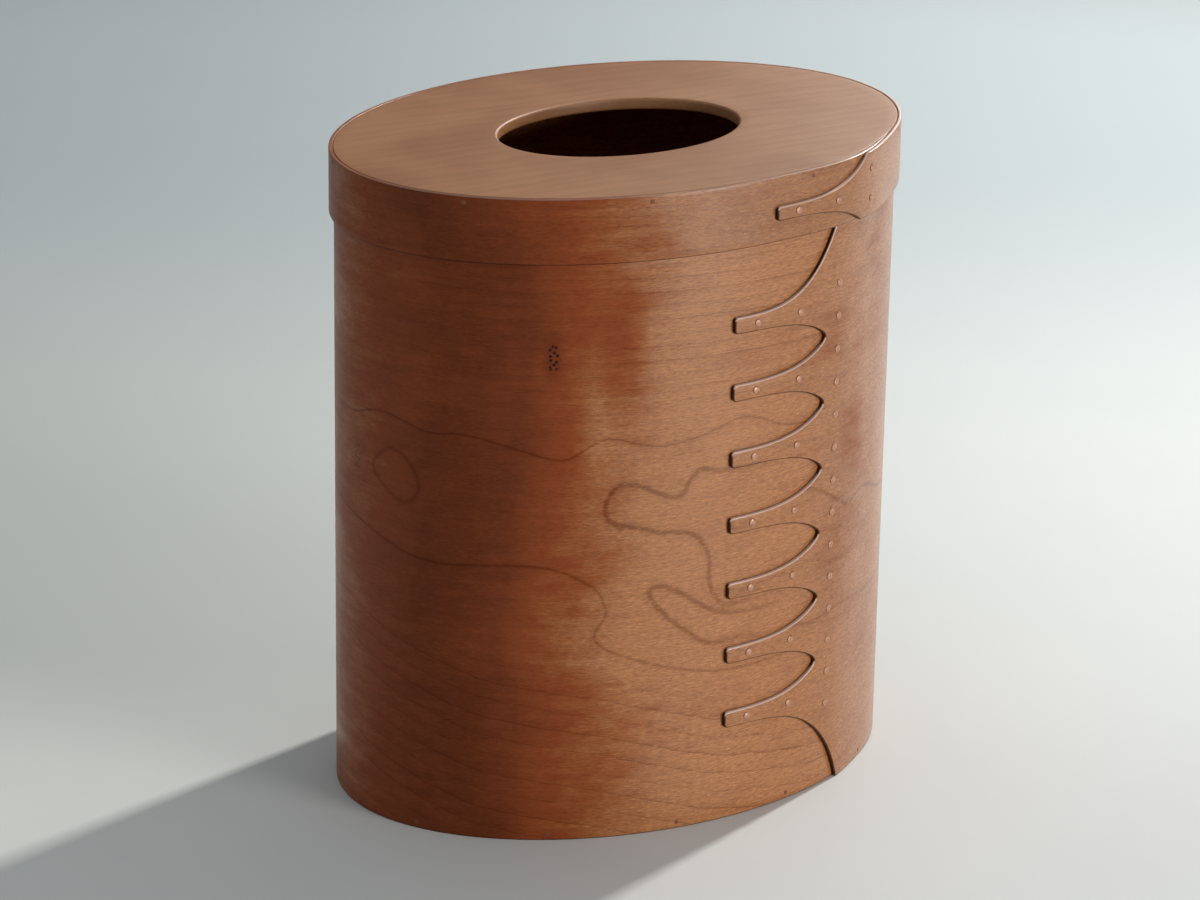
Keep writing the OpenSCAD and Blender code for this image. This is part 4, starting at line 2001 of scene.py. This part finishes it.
@dataclass(frozen=True, kw_only=True)
class LappedBin(LappedBox):
    """The body of the bin: the tall lapped band, the bottom board, and what holds them.

    Attributes:
        height: Height of the band.
        board_top: Height of the bottom board's upper face.
        fingers: Number of fingers.
        low_finger_z: Height of the lowest finger.
        high_finger_drop: Drop from the rim to the highest finger.
        scarf: Length over which the outer layer comes down to the form.
        knots: Groups of pin knots: distance from the strip's turn, height, and how dark.
    """

    height: float
    board_top: float
    thickness: float = 2.2
    fingers: int = 7
    low_finger_z: float = 53.3
    high_finger_drop: float = 64.0
    lap_start: float = 4.0
    scarf: float = 40.0
    tack_rows: Triple = (12.8, 39.0, 66.3)
    pegs: int = 12
    peg_start: float = -20.0
    knots: tuple[Triple, ...] = ((-85.0, 248.0, 1.0), (-190.0, 184.0, 0.35))

    @property
    def pitch(self) -> float:
        """Height from one finger to the next."""
        return (self.height - self.low_finger_z - self.high_finger_drop) / (self.fingers - 1)

    def strip(self) -> Strip:
        """Lays out the band.

        Returns:
            The band as a strip.
        """
        lap = Lap(
            start=self.lap_start,
            fingers=self.fingers,
            low_finger_z=self.low_finger_z,
            pitch=self.pitch,
            tip=8.3,
            tip_round=1.9,
            reach=58.0,
            over_reach=72.0,
            over_z=self.height + 2.0,
            under_reach=79.0,
            under_z=-2.0,
        )
        return Strip(
            name="bin_band",
            oval=self.oval,
            lap=lap,
            bottom=0.0,
            top=self.height,
            thickness=self.thickness,
            full=self.full,
            form=self.form,
            gap=self.gap,
            scarf=self.scarf,
        )

    def build_band(self) -> Object:
        """Builds and dresses the band.

        Returns:
            The band.
        """
        piece = self.strip().build()
        self._draw_figure(piece.data)
        turn = self.oval.girth
        knots = tuple((turn + along, up, dark) for along, up, dark in self.knots)
        finish = CherryVeneer("cherry_band", knots=knots).material()
        return dress(piece, Body.BIN, ["body_band"], finish)

    def _draw_figure(self, mesh: bpy.types.Mesh) -> None:
        """Stores the wood's figure at each point of the band.

        Args:
            mesh: The band's mesh.
        """
        flat = read_flat(mesh)
        inner = flat[:, 0] > BACK_SHARE * self.oval.girth
        figure = np.zeros((len(flat), 3))
        tone = np.zeros((len(flat), 3))
        figure[inner], tone[inner] = self._inner_figure(flat[inner])
        figure[~inner], tone[~inner] = self._outer_figure(flat[~inner])
        set_vectors(mesh, FIGURE, figure)
        set_vectors(mesh, TONE, tone)

    def _inner_figure(self, flat: Array) -> tuple[Array, Array]:
        """Works out the figure of the half that ends under the fingers.

        Args:
            flat: Points on the flat strip.

        Returns:
            The figure and the tone at each point.
        """
        turn = self.oval.girth
        gap, strength = Figure(BODY_LINES, turn).measure(flat)
        local = flat - np.array([turn, 0.0])
        along, up = local.T
        below = (follow(LOW_RING, along) - up) / 9.6
        above = (up - follow(HIGH_RING, along)) / 6.8
        clear = smooth_step((along + 70) / 50.0)
        quiet = np.where(below > above, 0.7 + 0.4 * clear, 0.3 + 0.75 * clear)
        quiet *= smooth_step((along + 360) / 90.0)
        ruddy = follow(INNER_RUDDY, along - follow(RUDDY_SHIFT, up))
        ruddy += add_patches(INNER_RUDDY_PATCHES, local)
        pale = follow(INNER_PALE, along) + add_patches(INNER_PALE_PATCHES, local)
        figure = np.stack([gap, strength, np.maximum(below, above)], -1)
        return figure, np.stack([quiet, ruddy, pale], -1)

    def _outer_figure(self, flat: Array) -> tuple[Array, Array]:
        """Works out the figure of the half that starts at the fingers.

        Args:
            flat: Points on the flat strip.

        Returns:
            The figure and the tone at each point.
        """
        gap, strength = Figure(OUTER_LINES, 0.0).measure(flat)
        along, up = flat.T
        wave = 6.0 * np.sin(along / 31.0) + 4.0 * np.sin(along / 12.5 + 1.0)
        ring = 1.0 + (up + wave) / 16.0
        quiet = 0.45 * smooth_step((400 - along) / 90.0)
        ruddy = follow(OUTER_RUDDY, along) + add_patches(OUTER_RUDDY_PATCHES, flat)
        tone = np.stack([quiet, ruddy, follow(OUTER_PALE, along)], -1)
        return np.stack([gap, strength, ring], -1), tone

    def build_board(self) -> Object:
        """Builds and dresses the bottom board.

        Returns:
            The board.
        """
        inset = self.thickness + self.board_gap
        board = OvalBoard(
            name="bin_bottom_board",
            oval=self.oval,
            low=0.0,
            high=self.board_top,
            edge=lambda along: np.full_like(along, -inset),
        )
        finish = CherryBoard("cherry_bottom").material()
        return dress(board.build(), Body.BIN, ["bottom_board"], finish)

    def build_tacks(self, metal: Material) -> list[Object]:
        """Builds and dresses the three rows of tacks.

        Args:
            metal: The tacks' material.

        Returns:
            The rows.
        """
        centre = [self.low_finger_z + i * self.pitch for i in range(self.fingers)]
        pairs = [z + side * self.pitch / 4 for z in centre for side in (-1, 1)]
        rows = (
            ("finger_tip_tack_row", "finger_tip_tacks", self.tack_rows[0], centre, 11),
            ("finger_root_tack_row", "finger_root_tacks", self.tack_rows[1], centre, 12),
            ("seam_tack_row", "seam_tacks", self.tack_rows[2], pairs, 13),
        )
        made = []
        for name, node, row, heights, seed in rows:
            tacks = TackRow(self.lift + self.thickness, seed, self.tack_width).tree(metal)
            along = [self.lap_start + row] * len(heights)
            piece = self.drive(tacks, name, along, heights, self.lift)
            made.append(dress(piece, Body.BIN, [node], None))
        return made

    def build_pegs(self, wood: Material) -> Object:
        """Builds and dresses the pegs round the bottom board.

        Args:
            wood: The pegs' material.

        Returns:
            The ring of pegs.
        """
        piece = self.peg_ring("bottom_peg_ring", self.board_top / 2, 21, wood)
        return dress(piece, Body.BIN, ["bottom_pegs"], None)


@dataclass(frozen=True, kw_only=True)
class LappedLid(LappedBox):
    """The lid: its lapped band, its board with the hand hole, and what holds them.

    Attributes:
        body: The bin that it sits on.
        top: Height of the lid's top.
        bottom: Height of the lid band's lower rim.
        board_low: Height of the board's underside.
        seat_gap: Gap between the lid band and the body.
        swell: Length over which the band rises to pass the body's lap.
        finger_drop: Drop from the top to the finger's centre line.
        hole: Half length and half width of the hole.
        tack_short: How far the shanks stay short of the band's inside.
        seam_rise: Height of the lower seam tack over the band's rim.
        seam_drop: Drop of the upper seam tack from the board's underside.
    """

    body: LappedBin
    top: float
    bottom: float
    board_low: float
    thickness: float = 2.0
    seat_gap: float = 0.4
    swell: float = 45.0
    lap_start: float = 25.0
    finger_drop: float = 17.8
    hole: Pair = (62.5, 43.5)
    tack_rows: Triple = (12.3, 37.0, 64.0)
    tack_short: float = 0.1
    seam_rise: float = 8.7
    seam_drop: float = 2.4
    pegs: int = 9
    peg_start: float = -40.0

    def seat(self, along: Array) -> Array:
        """Measures the band's inside, which swells over the body's lap.

        Args:
            along: Distances along the oval.

        Returns:
            Distances out from the oval.
        """
        past = np.mod(along, self.oval.girth) - self.body.full
        rise = smooth_step((past + self.swell) / (self.swell - SEAM_MARGIN))
        over = 1.0 - smooth_step(past / self.body.scarf)
        return self.seat_gap + self.body.lift * rise * over

    def form(self, along: Array) -> Array:
        """Distance of the single layer's outside from the oval."""
        return self.seat(along) + self.thickness

    def facing(self, along: Array, lift: float) -> Array:
        """Finds the directions in which the wall faces, which leans where it swells.

        Args:
            along: Distances along the oval.
            lift: Distance out from the single layer's outside.

        Returns:
            An array of X and Y pairs.
        """
        ahead, behind = (self.oval.at(s, self.form(s) + lift) for s in (along + 1, along - 1))
        step = ahead - behind
        step /= np.linalg.norm(step, axis=1, keepdims=True)
        return np.column_stack([step[:, 1], -step[:, 0]])

    def strip(self) -> Strip:
        """Lays out the band.

        Returns:
            The band as a strip.
        """
        lap = Lap(
            start=self.lap_start,
            fingers=1,
            low_finger_z=self.top - self.finger_drop,
            pitch=0.0,
            tip=7.0,
            tip_round=1.7,
            reach=60.0,
            over_reach=68.0,
            over_z=self.top + 12.0,
            under_reach=60.0,
            under_z=self.bottom - 6.0,
        )
        return Strip(
            name="lid_band_strip",
            oval=self.oval,
            lap=lap,
            bottom=self.bottom,
            top=self.top,
            thickness=self.thickness,
            full=self.full,
            form=self.form,
            gap=self.gap,
            rim_round=0.6,
            coarse=8.0,
        )

    def build_band(self) -> Object:
        """Builds and dresses the lid's band.

        Returns:
            The band.
        """
        piece = self.strip().build()
        self._draw_figure(piece.data)
        finish = CherryVeneer("cherry_lid_band").material()
        return dress(piece, Body.LID, ["lid_band"], finish)

    def _draw_figure(self, mesh: bpy.types.Mesh) -> None:
        """Stores the wood's figure at each point of the band.

        Args:
            mesh: The band's mesh.
        """
        flat = read_flat(mesh)
        turn = self.oval.girth
        inner = flat[:, 0] > turn / 2
        along = np.where(inner, flat[:, 0] - turn, flat[:, 0])
        up = flat[:, 1]
        drop = follow(LID_RING_DROP, along)
        lens = 5.0 * np.exp(-(((along + 30) / 30) ** 2)) * np.tanh((up - 305.0 - drop) / 4.0)
        ring = 6.0 + (up - 300.0 - drop - lens) / 4.4
        quiet = np.where(inner, 0.2 + 0.5 * np.exp(-(((along + 30) / 45) ** 2)), 0.18)
        none = np.zeros(len(flat))
        set_vectors(mesh, FIGURE, np.stack([none + 10.0, none, ring], -1))
        shift = np.interp(up, (self.bottom, self.top), (4.0, -6.0))
        pale = follow(LID_PALE, along)
        pale = np.where(inner, pale, np.minimum(pale, -0.7))
        set_vectors(mesh, TONE, np.stack([quiet, follow(LID_RUDDY, along - shift), pale], -1))

    def build_board(self) -> Object:
        """Builds and dresses the lid's board.

        Returns:
            The board.
        """
        board = OvalBoard(
            name="lid_board_oval",
            oval=self.oval,
            low=self.board_low,
            high=self.top,
            edge=lambda along: self.seat(along) - self.board_gap,
            edge_round=0.45,
            hole=self.hole,
        )
        finish = CherryBoard("cherry_lid_board").material()
        return dress(board.build(), Body.LID, ["lid_board"], finish)

    def build_tacks(self, metal: Material) -> Object:
        """Builds and dresses the lid's four tacks.

        Args:
            metal: The tacks' material.

        Returns:
            The row of tacks.
        """
        finger = self.top - self.finger_drop
        tip, root, seam = (self.lap_start + row for row in self.tack_rows)
        heights = [finger, finger, self.bottom + self.seam_rise, self.board_low - self.seam_drop]
        through = self.lift + self.thickness - self.tack_short
        row = TackRow(through, 14, self.tack_width, clinch_width=0.0, clinch_height=0.0)
        along = [tip, root, seam, seam]
        piece = self.drive(row.tree(metal), "lid_tack_row", along, heights, self.lift)
        return dress(piece, Body.LID, ["lid_tacks"], None)

    def build_pegs(self, wood: Material) -> Object:
        """Builds and dresses the pegs round the lid's board.

        Args:
            wood: The pegs' material.

        Returns:
            The ring of pegs.
        """
        piece = self.peg_ring("lid_peg_ring", (self.board_low + self.top) / 2, 22, wood)
        return dress(piece, Body.LID, ["lid_pegs"], None)


# --- Studio ---


@dataclass(frozen=True)
class WindowLight:
    """A soft lamp the size of a window.

    Attributes:
        name: Name of the lamp.
        azimuth: Direction of the lamp from the bin, in degrees from +X towards +Y.
        elevation: Height of the lamp over the horizon, in degrees.
        distance: Distance from the bin, in metres.
        size: Width and height in metres.
        power: Power in watts.
        colour: Colour of the light.
        shine_only: True for a lamp that shows in reflections and lights nothing else.
    """

    name: str
    azimuth: float
    elevation: float
    distance: float
    size: Pair
    power: float
    colour: Colour = (1.0, 1.0, 1.0)
    shine_only: bool = False

    def place(self, target: Vector) -> None:
        """Adds the lamp.

        Args:
            target: The point that it is turned to.
        """
        az, el = math.radians(self.azimuth), math.radians(self.elevation)
        away = Vector((math.cos(az) * math.cos(el), math.sin(az) * math.cos(el), math.sin(el)))
        lamp = bpy.data.lights.new(self.name, "AREA")
        lamp.shape = "RECTANGLE"
        lamp.size, lamp.size_y = self.size
        lamp.energy = self.power
        lamp.color = self.colour
        holder = link_object(self.name, lamp)
        holder.location = target + away * self.distance
        holder.rotation_euler = away.to_track_quat("Z", "Y").to_euler()
        holder.visible_camera = False
        holder.visible_diffuse = not self.shine_only


LAMPS = (
    WindowLight("window_right", 18.8, 34.0, 3.0, (0.15, 0.15), 74.0, (1.0, 0.985, 0.94)),
    WindowLight("window_front", -67.0, 8.0, 2.6, (1.0, 0.8), 38.0, (1.0, 0.99, 0.97)),
    WindowLight("window_left", 175.0, 15.0, 5.0, (2.5, 2.0), 18.75, (1.0, 0.97, 0.93)),
    WindowLight("window_back", 37.0, 25.0, 1.3, (0.6, 0.6), 3.6, (1.0, 0.99, 0.97), True),
)


@dataclass(frozen=True)
class Studio:
    """The pale floor, the lamps and the camera.

    Attributes:
        floor_reach: Radius of the floor in metres.
        lamps: The lamps.
        lamp_target: The point that the lamps are turned to, in metres.
        surround: Colour of the surround.
        dim: Strength of the surround on the dark side.
        bright: Strength of the surround on the window side.
        overhead: Strength of the surround overhead.
        window_side: Direction of the window side.
        azimuth: Direction of the camera from the front, in degrees.
        elevation: Height of the camera over the horizon, in degrees.
        roll: Roll of the camera in degrees.
        distance: Distance of the camera from the bin in millimetres.
        lens: Focal length in millimetres for a 36 mm sensor.
        offset: How far the bin's middle lies from the middle of the view, in millimetres.
    """

    floor_reach: float = 9.0
    lamps: tuple[WindowLight, ...] = LAMPS
    lamp_target: Triple = (0.0, 0.0, 0.16)
    surround: Colour = (0.84, 0.90, 0.955)
    dim: float = 0.02
    bright: float = 0.15
    overhead: float = 0.55
    window_side: Triple = (0.83, 0.50, 0.24)
    azimuth: float = -30.0
    elevation: float = 20.925
    roll: float = 0.958
    distance: float = 2300.0
    lens: float = 139.4
    offset: Pair = (6.643, -3.733)

    def build_floor(self) -> None:
        """Adds a wide round floor, whose rings lie closest together in the middle."""
        mesh = bpy.data.meshes.new("studio_floor")
        count, rings = 96, 24
        verts = [(0.0, 0.0, 0.0)]
        for r in range(1, rings + 1):
            reach = self.floor_reach * (r / rings) ** 2
            for i in range(count):
                turn = 2 * math.pi * i / count
                verts.append((reach * math.cos(turn), reach * math.sin(turn), 0.0))
        faces = [[0, 1 + i, 1 + (i + 1) % count] for i in range(count)]
        for a in range(1, (rings - 1) * count, count):
            b = a + count
            for i in range(count):
                j = (i + 1) % count
                faces.append([a + i, b + i, b + j, a + j])
        mesh.from_pydata(verts, [], faces)
        mesh.materials.append(PaleFloor().material(self.azimuth))
        floor = link_object("studio_floor", mesh)

    def light(self) -> None:
        """Adds the lamps and a pale surround, brighter overhead and on the window side."""
        for lamp in self.lamps:
            lamp.place(Vector(self.lamp_target))
        world = bpy.data.worlds.new("studio_surround")
        bpy.context.scene.world = world
        world.use_nodes = True
        w = Wiring(world.node_tree)
        w.tree.nodes.clear()
        place = w.node("ShaderNodeTexCoord").outputs["Generated"]
        glow = w.plus(
            w.ramp(w.dot(place, self.window_side), 0.3, 1.0, self.dim, self.bright),
            w.ramp(w.dot(place, (0.0, 0.0, 1.0)), 0.25, 1.0, 0.0, self.overhead),
        )
        back = w.node("ShaderNodeBackground", {"Color": rgba(self.surround), "Strength": glow})
        w.node("ShaderNodeOutputWorld", {"Surface": back.outputs[0]})

    def place_camera(self, height: float) -> None:
        """Adds the camera.

        Args:
            height: Height of the whole object in millimetres.
        """
        az, el, roll = (math.radians(a) for a in (self.azimuth, self.elevation, self.roll))
        back = Vector((math.sin(az) * math.cos(el), -math.cos(az) * math.cos(el), math.sin(el)))
        level = (-back).cross(Vector((0, 0, 1))).normalized()
        upright = level.cross(-back)
        right = math.cos(roll) * level + math.sin(roll) * upright
        up = -math.sin(roll) * level + math.cos(roll) * upright
        target = Vector((0, 0, height / 2)) - right * self.offset[0] + up * self.offset[1]
        data = bpy.data.cameras.new("camera")
        data.sensor_width = 36.0
        data.lens = self.lens
        data.clip_end = 60.0
        camera = link_object("camera", data)
        turn = Matrix((right, up, back)).transposed().to_4x4()
        camera.matrix_world = Matrix.Translation((target + back * self.distance) * MM) @ turn
        bpy.context.scene.camera = camera


def corners(box: Sequence[Sequence[float]]) -> list[list[float]]:
    """A box as plain lists of numbers."""
    return [[float(v) for v in corner] for corner in box]


def main() -> None:
    """Builds the bin and its lid, the studio and the camera."""
    logging.basicConfig(level=logging.INFO, format="%(name)s: %(message)s")
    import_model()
    bpy.context.scene.view_settings.view_transform = "Standard"
    edge = node_high("bottom_board")
    inset = LappedBin.thickness + LappedBin.board_gap
    oval = Oval(edge.x + inset, edge.y + inset)
    body = LappedBin(oval=oval, height=node_high("body_band").z, board_top=edge.z)
    lid = LappedLid(
        oval=oval,
        body=body,
        top=node_high("lid_board").z,
        bottom=node_low("lid_band").z,
        board_low=node_low("lid_board").z,
    )
    copper = HammeredCopper().material()
    end_grain = PegEndGrain().material()
    body.build_band()
    body.build_board()
    body.build_tacks(copper)
    body.build_pegs(end_grain)
    lid.build_band()
    lid.build_board()
    lid.build_tacks(copper)
    lid.build_pegs(end_grain)
    studio = Studio()
    studio.build_floor()
    studio.light()
    studio.place_camera(lid.top)


if __name__ == "__main__":
    main()
